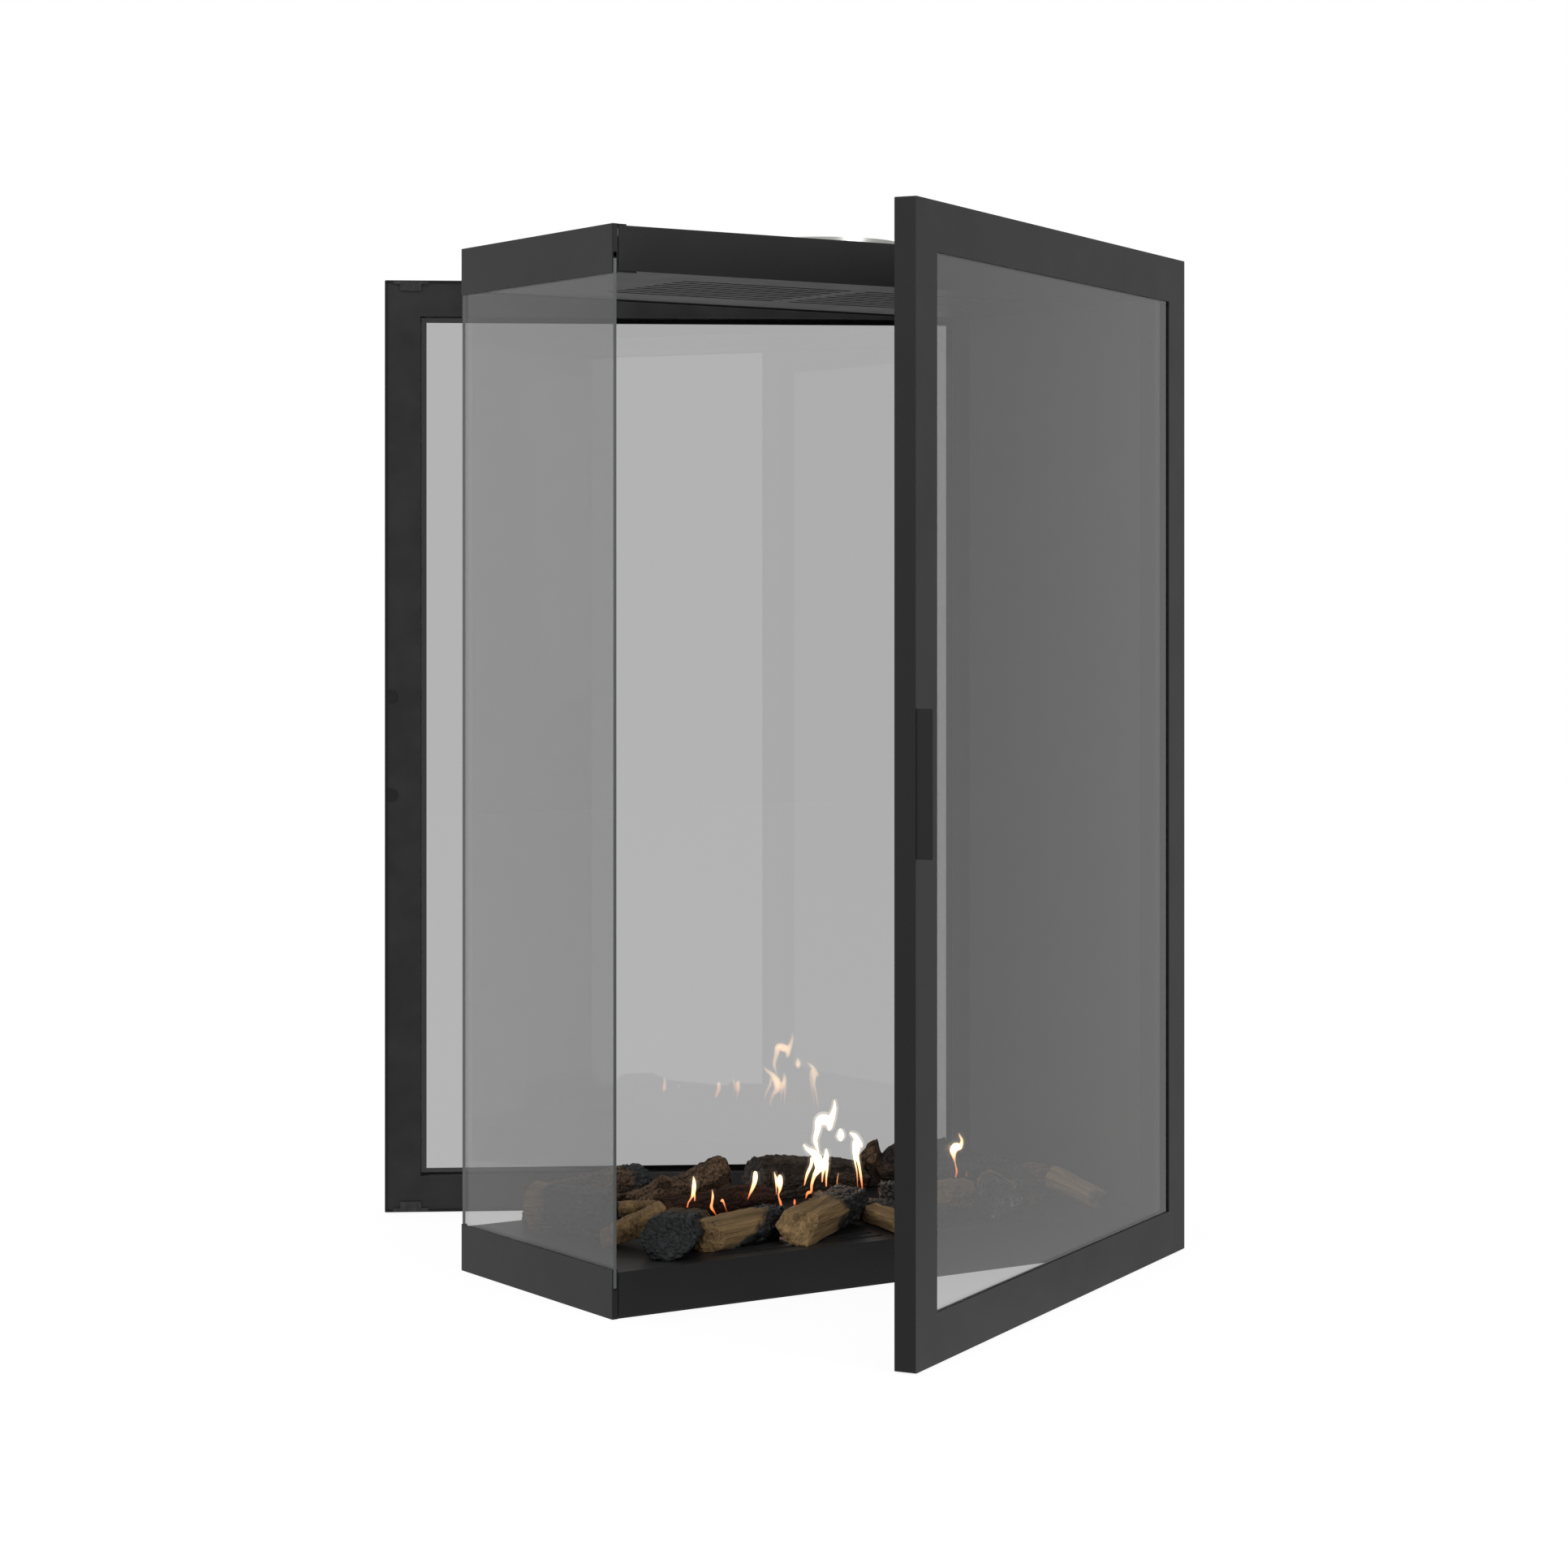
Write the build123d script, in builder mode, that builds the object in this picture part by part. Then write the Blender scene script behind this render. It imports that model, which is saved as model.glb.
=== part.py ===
from build123d import *
import os
from math import cos, pi, sin

os.makedirs("parts", exist_ok=True)

# Room divider fireplace, in millimetres. The origin is the middle of the base, on the plinth.
# X runs from the glazed end to the end wall, Y from the front door to the rear one, Z up.

# Casing
LENGTH = 800.0
DEPTH = 345.0
HEIGHT = 1200.0
SHEET = 1.5  # folded fascia sheet
PLATE = 2.0  # frame, hearth, ceiling and liner plate
BEND = 1.0  # outside radius of a folded corner
SIDE_BAND = 54.3  # height of the fascias under and over the end pane
BAND_RISE = 2.5  # the long fascias stop short of the side ones at the foot
BAND_DROP = 1.6  # and at the head
HEARTH_LEVEL = 51.0  # top of the hearth plate
CEILING_DROP = 49.5  # from the top down to the underside of the ceiling
BAND_HANG = 2.0  # how far the upper bands hang below the ceiling
CORNER_RETURN = 7.0  # side fascias turn the corner by this much
SEAM = 1.0  # open joint between two fascias
LIP = 18.0  # folds along the upper fascias, for stiffness and to hang the ceiling from

# End wall
END_WALL = 56.0
LINER_FLANGE = 24.0
POST_FLANGE = 25.0
CASING_RETURN = 14.0
INSULATION = 40.0
INSULATION_INSET = 30.0

# Fixed pane of the glazed end
GLASS = 4.0
PANE_SEAT_FOOT = 20.6  # how deep the pane goes below the lower band's top edge
PANE_SEAT_HEAD = 16.0
SLOT_HEAD = 23.1  # depth of the notch for the pane in the upper band's corners
PANE_END_GAP = 0.3
PANE_FIT = 0.2  # play of the pane in its notches
SEAL = 2.5  # seal between the pane and the frame
SEAL_PAD = 2.0  # seal under and over the pane's edges

# Base rails
RAIL_FLANGE = 40.0
RAIL_LEDGE = 14.0
END_RAIL_CLEAR = 20.0  # the gas line passes under the right rail
STAND_HOLE_RADIUS = 4.5
STAND_INSET_X = 40.0  # bolt holes from the casing's ends
STAND_INSET_Y = 30.0  # and from its faces

# Air slots of the ceiling and the hearth
SLOT_WIDTH = 8.0
SLOT_LENGTH = 233.0
SLOT_PITCH = 20.4
SLOT_GROUP_GAP = 21.0
SLOT_GROUPS_X = -9.5  # middle of the two groups of slots
CEILING_ROWS = 9
HEARTH_ROW_INSET = 26.5  # first hearth slot's centre line from the face

# Burner
BOX_LENGTH = 472.0
BOX_WIDTH = 225.0
BOX_X = -16.0
BOX_DEPTH = 34.0
DECK_LENGTH = 410.0
DECK_WIDTH = 105.0
DECK_X = -5.0
DECK_CORNER = 4.0
DECK_FIT = 0.5  # gap round the deck in the hearth plate
DECK_FLANGE = 8.0
PORT_WIDTH = 3.0
PORT_LENGTH = 34.0
PORT_PITCH = 44.0
PORT_ROWS = 2
PORT_ROW_PITCH = 30.0
MANIFOLD_RADIUS = 9.0
MANIFOLD_LENGTH = 370.0
INLET_X = 200.0
INLET_RADIUS = 7.5
INLET_BORE = 5.5
INLET_END = 3.0  # height of the inlet's open end over the plinth
INLET_NUT = 24.0  # across the corners
INLET_NUT_HEIGHT = 4.0
PIPE_FIT = 0.2

# Pilot
PILOT_X = -28.0
PILOT_Y = -27.5
PILOT_BASE = (34.0, 16.0)
PILOT_TUBE_RADIUS = 4.0
PILOT_TUBE_HEIGHT = 19.0
HOOD_HEIGHT = 9.0
HOOD_FLARE = 3.0
PROBE_OFFSET = 12.0  # each side of the pilot tube
PROBE_HEIGHT = 27.0
ELECTRODE_RADIUS = 1.3
INSULATOR_RADIUS = 2.6
THERMOCOUPLE_RADIUS = 1.8

# Flue
FLUE_BOX_MARGIN = 12.0
FLUE_BOX_HEIGHT = 27.5
COVER_DROP = 14.0  # top cover below the bands' top
FLUE_RADIUS = 65.0  # bore of the inner collar
FLUE_STOP = 1.0  # the box's hole is smaller than the collar, so that the pipe stops on it
AIR_RADIUS = 100.0  # outside of the outer collar
COLLAR_WALL = 1.0
COLLAR_PROUD = 12.0  # collars over the casing's top

# Doors
HINGE_STILE = 20.0  # casing left bare past the door's hinged edge
DOOR_CLEAR = 2.0  # casing shows above and below the door
DOOR_GAP = 2.0  # from the closed door's rim to the casing
DOOR_THICK = 24.0
DOOR_BAR = 52.7
DOOR_RIM = 2.4
DOOR_CORNER = 1.5
RETAINER_RECESS = 3.0
REVEAL = 7.0  # retainer's opening is this much wider than the tray's
GLASS_LAP = 16.0  # glass behind the tray's bars
TAPE = 2.0
TAPE_WIDTH = 8.0
OPEN_ANGLE = 29.5  # both doors stand ajar at rest

# Hinges
HINGE_OFFSET_X = 7.3  # pivot to the door's edge
HINGE_OFFSET_Y = 5.0  # pivot to the casing's face
HINGE_RADIUS = 5.0
HINGE_PIN_RADIUS = 2.5
HINGE_BORE_FIT = 0.06
HINGE_BARREL = 22.0
HINGE_PIN = 18.0
HINGE_PLAY = 0.4
HINGE_INSET = 108.0  # from the door's top and foot
HINGE_LEAF = 2.5

# Handle and latches
HANDLE_HEIGHT = 153.0
HANDLE_LEVEL = 600.5
HANDLE_REACH = 18.5
HANDLE_THICK = 3.0
HANDLE_INSET = 1.0
LUG_SPACING = 126.0
LUG_RADIUS = 8.0
LUG_REACH = 16.0
LUG_THICK = 1.8
TAIL_THICK = 1.4
TAIL_HEIGHT = 10.0
TAIL_FIT = 0.2
LATCH_INSET = 10.6
LATCH_LENGTH = 45.0
LATCH_STRIP = 5.0
LATCH_TAB = 27.0
LATCH_REACH = 13.5
LATCH_THICK = 1.5
STRIKE_LENGTH = 24.0
STRIKE_WIDTH = 10.0
STRIKE_HEIGHT = 3.7

# Log fire
LOG_SIDES = 8  # corners of a log's section
LOG_STATIONS = 6  # sections along a log
LOG_LUMPS = 0.045
LOG_GIRTH = 100.0  # each log's width, height, lift and bow are in percent of this
LOG_BEDDING = 0.42  # a log's axis over what it lies on, as a share of its whole oval
LOG_END_CUT = 3.0
LOG_END_SLANT = 14.0  # degrees

# Places worked out from the sizes
left = -LENGTH / 2
right = LENGTH / 2
front = -DEPTH / 2
rear = DEPTH / 2
ceiling_level = HEIGHT - CEILING_DROP
band_top = HEIGHT - BAND_DROP
chamber_right = right - END_WALL
plate_under = HEARTH_LEVEL - PLATE
inner_left = left + SHEET + GLASS + SEAL
pane_foot = SIDE_BAND - PANE_SEAT_FOOT
pane_head = HEIGHT - SIDE_BAND + PANE_SEAT_HEAD
plate_length = right - SHEET - inner_left
plate_depth = DEPTH - 2 * SHEET
band_start = left + CORNER_RETURN + SEAM
cover_level = band_top - COVER_DROP
door_height = HEIGHT - 2 * DOOR_CLEAR
door_edge = right - HINGE_STILE
door_length = door_edge - left
door_middle = (left + door_edge) / 2
pivot_x = door_edge + HINGE_OFFSET_X
pivot_y = front - HINGE_OFFSET_Y
view_length = door_length - 2 * DOOR_BAR
view_height = door_height - 2 * DOOR_BAR
hinge_levels = (DOOR_CLEAR + HINGE_INSET, HEIGHT - DOOR_CLEAR - HINGE_INSET)
LOW = (Align.MIN, Align.MIN, Align.MIN)
MIDDLE = (Align.CENTER, Align.CENTER, Align.MIN)


def write(piece, name):
    """Label a finished piece and write it under its own name."""
    piece.label = name
    export_step(piece, f"parts/{name}.step")


def write_pair(piece, name):
    """Write a front piece and its mirror image at the rear."""
    write(piece, f"front_{name}")
    write(mirror(piece, about=Plane.XZ), f"rear_{name}")


# Base rails: channels folded from plate, the long ones full length with the pane's notch
with BuildPart() as base_rail:
    with BuildSketch(Plane.YZ.offset(left + SHEET)):
        with Locations((front + SHEET, 0)):
            Rectangle(PLATE, plate_under, align=(Align.MIN, Align.MIN))
            Rectangle(RAIL_FLANGE, PLATE, align=(Align.MIN, Align.MIN))
        with Locations((front + SHEET, plate_under - PLATE)):
            Rectangle(RAIL_LEDGE, PLATE, align=(Align.MIN, Align.MIN))
    extrude(amount=LENGTH - 2 * SHEET)
    with Locations((left, front, pane_foot - SEAL_PAD)):
        Box(inner_left - left, DEPTH / 2, HEARTH_LEVEL, align=LOW, mode=Mode.SUBTRACT)
    for hole_x in (left + STAND_INSET_X, right - STAND_INSET_X):
        with Locations((hole_x, front + STAND_INSET_Y)):
            Cylinder(STAND_HOLE_RADIUS, 3 * PLATE, mode=Mode.SUBTRACT)
write_pair(base_rail.part, "base_rail")

rail_run = DEPTH - 2 * SHEET - 2 * PLATE
with BuildPart() as left_base_rail:
    with BuildSketch(Plane.XZ.offset(rail_run / 2)):
        with Locations((inner_left, PLATE)):
            Rectangle(PLATE, plate_under - 2 * PLATE, align=(Align.MIN, Align.MIN))
            Rectangle(LIP + PLATE, PLATE, align=(Align.MIN, Align.MIN))
        with Locations((inner_left, plate_under - 2 * PLATE)):
            Rectangle(LIP + PLATE, PLATE, align=(Align.MIN, Align.MIN))
    extrude(amount=-rail_run)
left_base_rail.part.label = "left_base_rail"
export_step(left_base_rail.part, "parts/left_base_rail.step")

with BuildPart() as right_base_rail:
    with BuildSketch(Plane.XZ.offset(rail_run / 2)):
        with Locations((chamber_right, END_RAIL_CLEAR)):
            Rectangle(PLATE, plate_under - PLATE - END_RAIL_CLEAR, align=(Align.MIN, Align.MIN))
        with Locations((chamber_right, plate_under - 2 * PLATE)):
            Rectangle(END_WALL - SHEET, PLATE, align=(Align.MIN, Align.MIN))
    extrude(amount=-rail_run)
right_base_rail.part.label = "right_base_rail"
export_step(right_base_rail.part, "parts/right_base_rail.step")


def slot_row(y):
    """Two air slots end to end, one row of the pattern that hearth and ceiling share."""
    with Locations((SLOT_GROUPS_X, y)):
        with GridLocations(SLOT_LENGTH + SLOT_GROUP_GAP, 1, 2, 1):
            Rectangle(SLOT_LENGTH, SLOT_WIDTH, mode=Mode.SUBTRACT)


# Hearth plate: slotted along both long edges, with a cut-out for the burner deck
with BuildPart() as hearth_plate:
    with BuildSketch(Plane.XY.offset(plate_under)):
        with Locations((inner_left + plate_length / 2, 0)):
            Rectangle(plate_length, plate_depth)
        for inset in (HEARTH_ROW_INSET, HEARTH_ROW_INSET + SLOT_PITCH):
            slot_row(front + inset)
            slot_row(rear - inset)
        with Locations((DECK_X, 0)):
            RectangleRounded(DECK_LENGTH, DECK_WIDTH, DECK_CORNER, mode=Mode.SUBTRACT)
    extrude(amount=PLATE)
hearth_plate.part.label = "hearth_plate"
export_step(hearth_plate.part, "parts/hearth_plate.step")

# Burner box: pan that hangs under the hearth plate
with BuildPart() as burner_box:
    with Locations((BOX_X, 0, plate_under)):
        Box(BOX_LENGTH, BOX_WIDTH, BOX_DEPTH, align=(Align.CENTER, Align.CENTER, Align.MAX))
    offset(amount=-SHEET, openings=burner_box.faces().sort_by(Axis.Z)[-1])
    with Locations((INLET_X, 0, plate_under - BOX_DEPTH)):
        Cylinder(INLET_RADIUS + PIPE_FIT, 3 * SHEET, mode=Mode.SUBTRACT)
burner_box.part.label = "burner_box"
export_step(burner_box.part, "parts/burner_box.step")

# Burner deck: ported plate, flush in the hearth, with a flange that laps under it
with BuildPart() as burner_deck:
    with BuildSketch(Plane.XY.offset(plate_under)):
        with Locations((DECK_X, 0)):
            RectangleRounded(DECK_LENGTH - 2 * DECK_FIT, DECK_WIDTH - 2 * DECK_FIT, DECK_CORNER - DECK_FIT)
    extrude(amount=PLATE)
    with BuildSketch(Plane.XY.offset(plate_under)):
        with Locations((DECK_X, 0)):
            RectangleRounded(DECK_LENGTH + 2 * DECK_FLANGE, DECK_WIDTH + 2 * DECK_FLANGE, DECK_CORNER)
    extrude(amount=-SHEET)
    with BuildSketch(Plane.XY.offset(HEARTH_LEVEL)):
        with Locations((DECK_X, 0)):
            with GridLocations(PORT_PITCH, PORT_ROW_PITCH, int(DECK_LENGTH / PORT_PITCH), PORT_ROWS):
                Rectangle(PORT_LENGTH, PORT_WIDTH)
    extrude(amount=-PLATE - SHEET, mode=Mode.SUBTRACT)
burner_deck.part.label = "burner_deck"
export_step(burner_deck.part, "parts/burner_deck.step")

# Gas manifold: pipe in the box, its inlet stub through the floor and locked by a hexagon nut
manifold_level = plate_under - BOX_DEPTH / 2
with BuildPart() as gas_manifold:
    with Locations((BOX_X, 0, manifold_level)):
        Cylinder(MANIFOLD_RADIUS, MANIFOLD_LENGTH, rotation=(0, 90, 0))
    with Locations((BOX_X + MANIFOLD_LENGTH / 2, 0, manifold_level)):
        Box(INLET_X - BOX_X - MANIFOLD_LENGTH / 2, MANIFOLD_RADIUS, MANIFOLD_RADIUS,
            align=(Align.MIN, Align.CENTER, Align.CENTER))
    with Locations((INLET_X, 0, INLET_END)):
        Cylinder(INLET_RADIUS, manifold_level + MANIFOLD_RADIUS - INLET_END, align=MIDDLE)
    with BuildSketch(Plane.XY.offset(plate_under - BOX_DEPTH)):
        with Locations((INLET_X, 0)):
            RegularPolygon(INLET_NUT / 2, 6)
    extrude(amount=-INLET_NUT_HEIGHT)
    with Locations((INLET_X, 0, INLET_END)):
        Cylinder(INLET_BORE, manifold_level - INLET_END, align=MIDDLE, mode=Mode.SUBTRACT)
gas_manifold.part.label = "gas_manifold"
export_step(gas_manifold.part, "parts/gas_manifold.step")

# Pilot: bracket with a hooded burner, and the spark electrode and thermocouple beside it
with BuildPart() as pilot_burner:
    with Locations((PILOT_X, PILOT_Y, HEARTH_LEVEL)):
        Box(*PILOT_BASE, SHEET, align=MIDDLE)
        Cylinder(PILOT_TUBE_RADIUS, PILOT_TUBE_HEIGHT, align=MIDDLE)
    with Locations((PILOT_X, PILOT_Y, HEARTH_LEVEL + PILOT_TUBE_HEIGHT)):
        Cone(PILOT_TUBE_RADIUS, PILOT_TUBE_RADIUS + HOOD_FLARE, HOOD_HEIGHT, align=MIDDLE)
    with Locations((PILOT_X, PILOT_Y, HEARTH_LEVEL + PILOT_TUBE_HEIGHT + HOOD_HEIGHT)):
        Box(HOOD_HEIGHT, 2 * HOOD_HEIGHT, HOOD_HEIGHT, align=(Align.CENTER, Align.MAX, Align.MAX),
            mode=Mode.SUBTRACT)
    with Locations((PILOT_X - PROBE_OFFSET, PILOT_Y, HEARTH_LEVEL)):
        Cylinder(ELECTRODE_RADIUS, PROBE_HEIGHT, align=MIDDLE)
        Cylinder(INSULATOR_RADIUS, PROBE_HEIGHT / 2, align=MIDDLE)
    with Locations((PILOT_X + PROBE_OFFSET, PILOT_Y, HEARTH_LEVEL)):
        Cylinder(THERMOCOUPLE_RADIUS, PROBE_HEIGHT, align=MIDDLE)
pilot_burner.part.label = "pilot_burner"
export_step(pilot_burner.part, "parts/pilot_burner.step")


def side_fascia(foot, notch_foot, notch_head):
    """Folded band of the glazed end. It turns both corners, with a notch for the pane's edge."""
    with BuildPart() as band:
        with BuildSketch(Plane.XY.offset(foot)):
            with Locations((left, front)):
                Rectangle(CORNER_RETURN, DEPTH, align=(Align.MIN, Align.MIN))
            with Locations((left + SHEET, front + SHEET)):
                Rectangle(CORNER_RETURN, plate_depth, align=(Align.MIN, Align.MIN), mode=Mode.SUBTRACT)
        extrude(amount=SIDE_BAND)
        fillet(band.edges().filter_by(Axis.Z).group_by(Axis.X)[0], BEND)
        with Locations((left + SHEET, 0, notch_foot)):
            Box(GLASS + PANE_FIT, DEPTH, notch_head - notch_foot,
                align=(Align.MIN, Align.CENTER, Align.MIN), mode=Mode.SUBTRACT)
    return band.part


side_lower_fascia = side_fascia(0, pane_foot - SEAL_PAD, SIDE_BAND)
write(side_lower_fascia, "side_lower_fascia")

with BuildPart() as side_upper_fascia:
    add(side_fascia(HEIGHT - SIDE_BAND, HEIGHT - SIDE_BAND, HEIGHT - SIDE_BAND + SLOT_HEAD))
    with Locations((left + BEND, 0, HEIGHT)):
        Box(LIP, plate_depth, SHEET, align=(Align.MIN, Align.CENTER, Align.MAX))
side_upper_fascia.part.label = "side_upper_fascia"
export_step(side_upper_fascia.part, "parts/side_upper_fascia.step")

# Long fascias: the lower one is a plain band, the upper one is folded in along the top and
# again at the ceiling, whose plate hangs from that ledge
with BuildPart() as lower_fascia:
    with Locations((band_start, front, BAND_RISE)):
        Box(right - band_start, SHEET, HEARTH_LEVEL - BAND_RISE, align=LOW)
write_pair(lower_fascia.part, "lower_fascia")

with BuildPart() as upper_fascia:
    with BuildSketch(Plane.YZ.offset(band_start)):
        with Locations((front, ceiling_level - BAND_HANG)):
            Rectangle(SHEET, band_top - ceiling_level + BAND_HANG, align=(Align.MIN, Align.MIN))
    extrude(amount=right - band_start)
    with BuildSketch(Plane.YZ.offset(band_start)):
        with Locations((front, band_top - SHEET), (front, ceiling_level + PLATE)):
            Rectangle(LIP, SHEET, align=(Align.MIN, Align.MIN))
    extrude(amount=right - SHEET - band_start)
    fillet(upper_fascia.edges().filter_by(Axis.X).group_by(Axis.Z)[-1].sort_by(Axis.Y)[0], BEND)
write_pair(upper_fascia.part, "upper_fascia")

# Ceiling: plate with nine rows of slots in two groups, centred on the flue
with BuildPart() as ceiling_grille:
    with BuildSketch(Plane.XY.offset(ceiling_level)):
        with Locations((inner_left + plate_length / 2, 0)):
            Rectangle(plate_length, plate_depth)
        for row in range(CEILING_ROWS):
            slot_row((row - (CEILING_ROWS - 1) / 2) * SLOT_PITCH)
    extrude(amount=PLATE)
ceiling_grille.part.label = "ceiling_grille"
export_step(ceiling_grille.part, "parts/ceiling_grille.step")

# Flue box: collector over the slots, open below, with the inner collar standing on its hole
slots_length = 2 * SLOT_LENGTH + SLOT_GROUP_GAP
slots_depth = (CEILING_ROWS - 1) * SLOT_PITCH + SLOT_WIDTH
flue_box_top = ceiling_level + PLATE + FLUE_BOX_HEIGHT
with BuildPart() as flue_box:
    with Locations((SLOT_GROUPS_X, 0, ceiling_level + PLATE)):
        Box(slots_length + 2 * FLUE_BOX_MARGIN, slots_depth + 2 * FLUE_BOX_MARGIN, FLUE_BOX_HEIGHT,
            align=MIDDLE)
    offset(amount=-SHEET, openings=flue_box.faces().sort_by(Axis.Z)[0])
    with Locations((SLOT_GROUPS_X, 0, flue_box_top)):
        Cylinder(FLUE_RADIUS - FLUE_STOP, 3 * SHEET, mode=Mode.SUBTRACT)
flue_box.part.label = "flue_box"
export_step(flue_box.part, "parts/flue_box.step")


def collar(bore, foot):
    """Short spigot of rolled sheet, from its seat to just over the casing's top."""
    with BuildPart() as tube:
        with BuildSketch(Plane.XY.offset(foot)):
            with Locations((SLOT_GROUPS_X, 0)):
                Circle(bore + COLLAR_WALL)
                Circle(bore, mode=Mode.SUBTRACT)
        extrude(amount=HEIGHT + COLLAR_PROUD - foot)
    return tube.part


write(collar(FLUE_RADIUS, flue_box_top), "inner_flue_collar")
write(collar(AIR_RADIUS - COLLAR_WALL, cover_level + PLATE), "outer_flue_collar")

# Top cover: closes the head between the fascias, open inside the outer collar
with BuildPart() as top_cover:
    with BuildSketch(Plane.XY.offset(cover_level)):
        Rectangle(LENGTH - 2 * SHEET, plate_depth)
        with Locations((SLOT_GROUPS_X, 0)):
            Circle(AIR_RADIUS - COLLAR_WALL, mode=Mode.SUBTRACT)
    extrude(amount=PLATE)
top_cover.part.label = "top_cover"
export_step(top_cover.part, "parts/top_cover.step")

# End wall: liner pan towards the fire, board behind it, outer skin, and a post at each face
wall_height = ceiling_level - HEARTH_LEVEL
with BuildPart() as end_wall_liner:
    with BuildSketch(Plane.XY.offset(HEARTH_LEVEL)):
        with Locations((chamber_right, 0)):
            Rectangle(LINER_FLANGE, DEPTH, align=(Align.MIN, Align.CENTER))
        with Locations((chamber_right + PLATE, 0)):
            Rectangle(LINER_FLANGE, DEPTH - 2 * PLATE, align=(Align.MIN, Align.CENTER), mode=Mode.SUBTRACT)
    extrude(amount=wall_height)
    with Locations((chamber_right, front, ceiling_level), (chamber_right, rear - SHEET, ceiling_level)):
        Box(LINER_FLANGE, SHEET, BAND_HANG, align=(Align.MIN, Align.MIN, Align.MAX), mode=Mode.SUBTRACT)
end_wall_liner.part.label = "end_wall_liner"
export_step(end_wall_liner.part, "parts/end_wall_liner.step")

with BuildPart() as end_wall_insulation:
    with Locations((chamber_right + PLATE, 0, HEARTH_LEVEL)):
        Box(INSULATION, DEPTH - 2 * INSULATION_INSET, wall_height,
            align=(Align.MIN, Align.CENTER, Align.MIN))
end_wall_insulation.part.label = "end_wall_insulation"
export_step(end_wall_insulation.part, "parts/end_wall_insulation.step")

with BuildPart() as end_wall_casing:
    with BuildSketch(Plane.XY):
        with Locations((right, 0)):
            Rectangle(SHEET, DEPTH - 2 * PLATE, align=(Align.MAX, Align.CENTER))
    extrude(amount=band_top)
    with BuildSketch(Plane.XY.offset(HEARTH_LEVEL)):
        with Locations((right, front + PLATE)):
            Rectangle(CASING_RETURN, SHEET, align=(Align.MAX, Align.MIN))
        with Locations((right, rear - PLATE)):
            Rectangle(CASING_RETURN, SHEET, align=(Align.MAX, Align.MAX))
    extrude(amount=wall_height)
end_wall_casing.part.label = "end_wall_casing"
export_step(end_wall_casing.part, "parts/end_wall_casing.step")

post_left = chamber_right + LINER_FLANGE
with BuildPart() as hinge_post:
    with BuildSketch(Plane.XY.offset(HEARTH_LEVEL)):
        with Locations((post_left, front)):
            Rectangle(right - post_left, PLATE, align=(Align.MIN, Align.MIN))
            Rectangle(PLATE, POST_FLANGE, align=(Align.MIN, Align.MIN))
    extrude(amount=wall_height - BAND_HANG)
    fillet(hinge_post.edges().filter_by(Axis.Z).group_by(Axis.Y)[0].sort_by(Axis.X)[-1], BEND)
write_pair(hinge_post.part, "hinge_post")

# Fixed pane and its seals: an L along the foot and another along the head
with BuildPart() as side_glass:
    with Locations((left + SHEET, 0, pane_foot)):
        Box(GLASS, DEPTH - 2 * PANE_END_GAP, pane_head - pane_foot,
            align=(Align.MIN, Align.CENTER, Align.MIN))
side_glass.part.label = "side_glass"
export_step(side_glass.part, "parts/side_glass.step")

with BuildPart() as side_glass_seals:
    with BuildSketch(Plane.XZ.offset(plate_depth / 2)):
        with Locations((left + SHEET, pane_foot)):
            Rectangle(GLASS + SEAL, SEAL_PAD, align=(Align.MIN, Align.MAX))
        with Locations((left + SHEET, pane_head)):
            Rectangle(GLASS + SEAL, SEAL_PAD, align=(Align.MIN, Align.MIN))
        with Locations((inner_left, pane_foot)):
            Rectangle(SEAL, HEARTH_LEVEL - pane_foot, align=(Align.MAX, Align.MIN))
        with Locations((inner_left, pane_head)):
            Rectangle(SEAL, pane_head - ceiling_level, align=(Align.MAX, Align.MAX))
    extrude(amount=-plate_depth)
side_glass_seals.part.label = "side_glass_seals"
export_step(side_glass_seals.part, "parts/side_glass_seals.step")

# Door strikes: a small block under the ceiling beside each glazed corner
with BuildPart() as door_strikes:
    with Locations((band_start, front + SHEET, ceiling_level)):
        Box(STRIKE_LENGTH, STRIKE_WIDTH, STRIKE_HEIGHT, align=(Align.MIN, Align.MIN, Align.MAX))
    mirror(about=Plane.XZ)
door_strikes.part.label = "door_strikes"
export_step(door_strikes.part, "parts/door_strikes.step")

# Hinge brackets: leaf on the post, lower barrel and the pin that the door drops on
with BuildPart() as hinge_brackets:
    for level in hinge_levels:
        with Locations((pivot_x, pivot_y, level - HINGE_BARREL)):
            Cylinder(HINGE_RADIUS, HINGE_BARREL, align=MIDDLE)
            Cylinder(HINGE_PIN_RADIUS, HINGE_BARREL + HINGE_PIN, align=MIDDLE)
        with Locations((pivot_x, front, level - HINGE_BARREL)):
            Box(right - BEND - pivot_x, HINGE_LEAF, HINGE_BARREL, align=(Align.MIN, Align.MAX, Align.MIN))
    mirror(about=Plane.XZ)
hinge_brackets.part.label = "hinge_brackets"
export_step(hinge_brackets.part, "parts/hinge_brackets.step")


def door_plane(depth):
    """Plane parallel to the closed front door, so far in front of the casing."""
    return Plane.XZ.offset(DEPTH / 2 + depth)


def write_door(piece, name):
    """Swing a closed front piece to its resting angle and write it and its rear twin."""
    pivot = Axis((pivot_x, pivot_y, 0), (0, 0, 1))
    write_pair(piece.rotate(pivot, OPEN_ANGLE), name)


outer_face = DOOR_GAP + DOOR_THICK
glass_depth = outer_face - PLATE - GLASS
retainer_depth = DOOR_GAP + RETAINER_RECESS
door_centre = (door_middle, HEIGHT / 2)
lug_levels = (HANDLE_LEVEL - LUG_SPACING / 2, HANDLE_LEVEL + LUG_SPACING / 2)
tail_x = left + DOOR_RIM + TAIL_FIT


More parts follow.
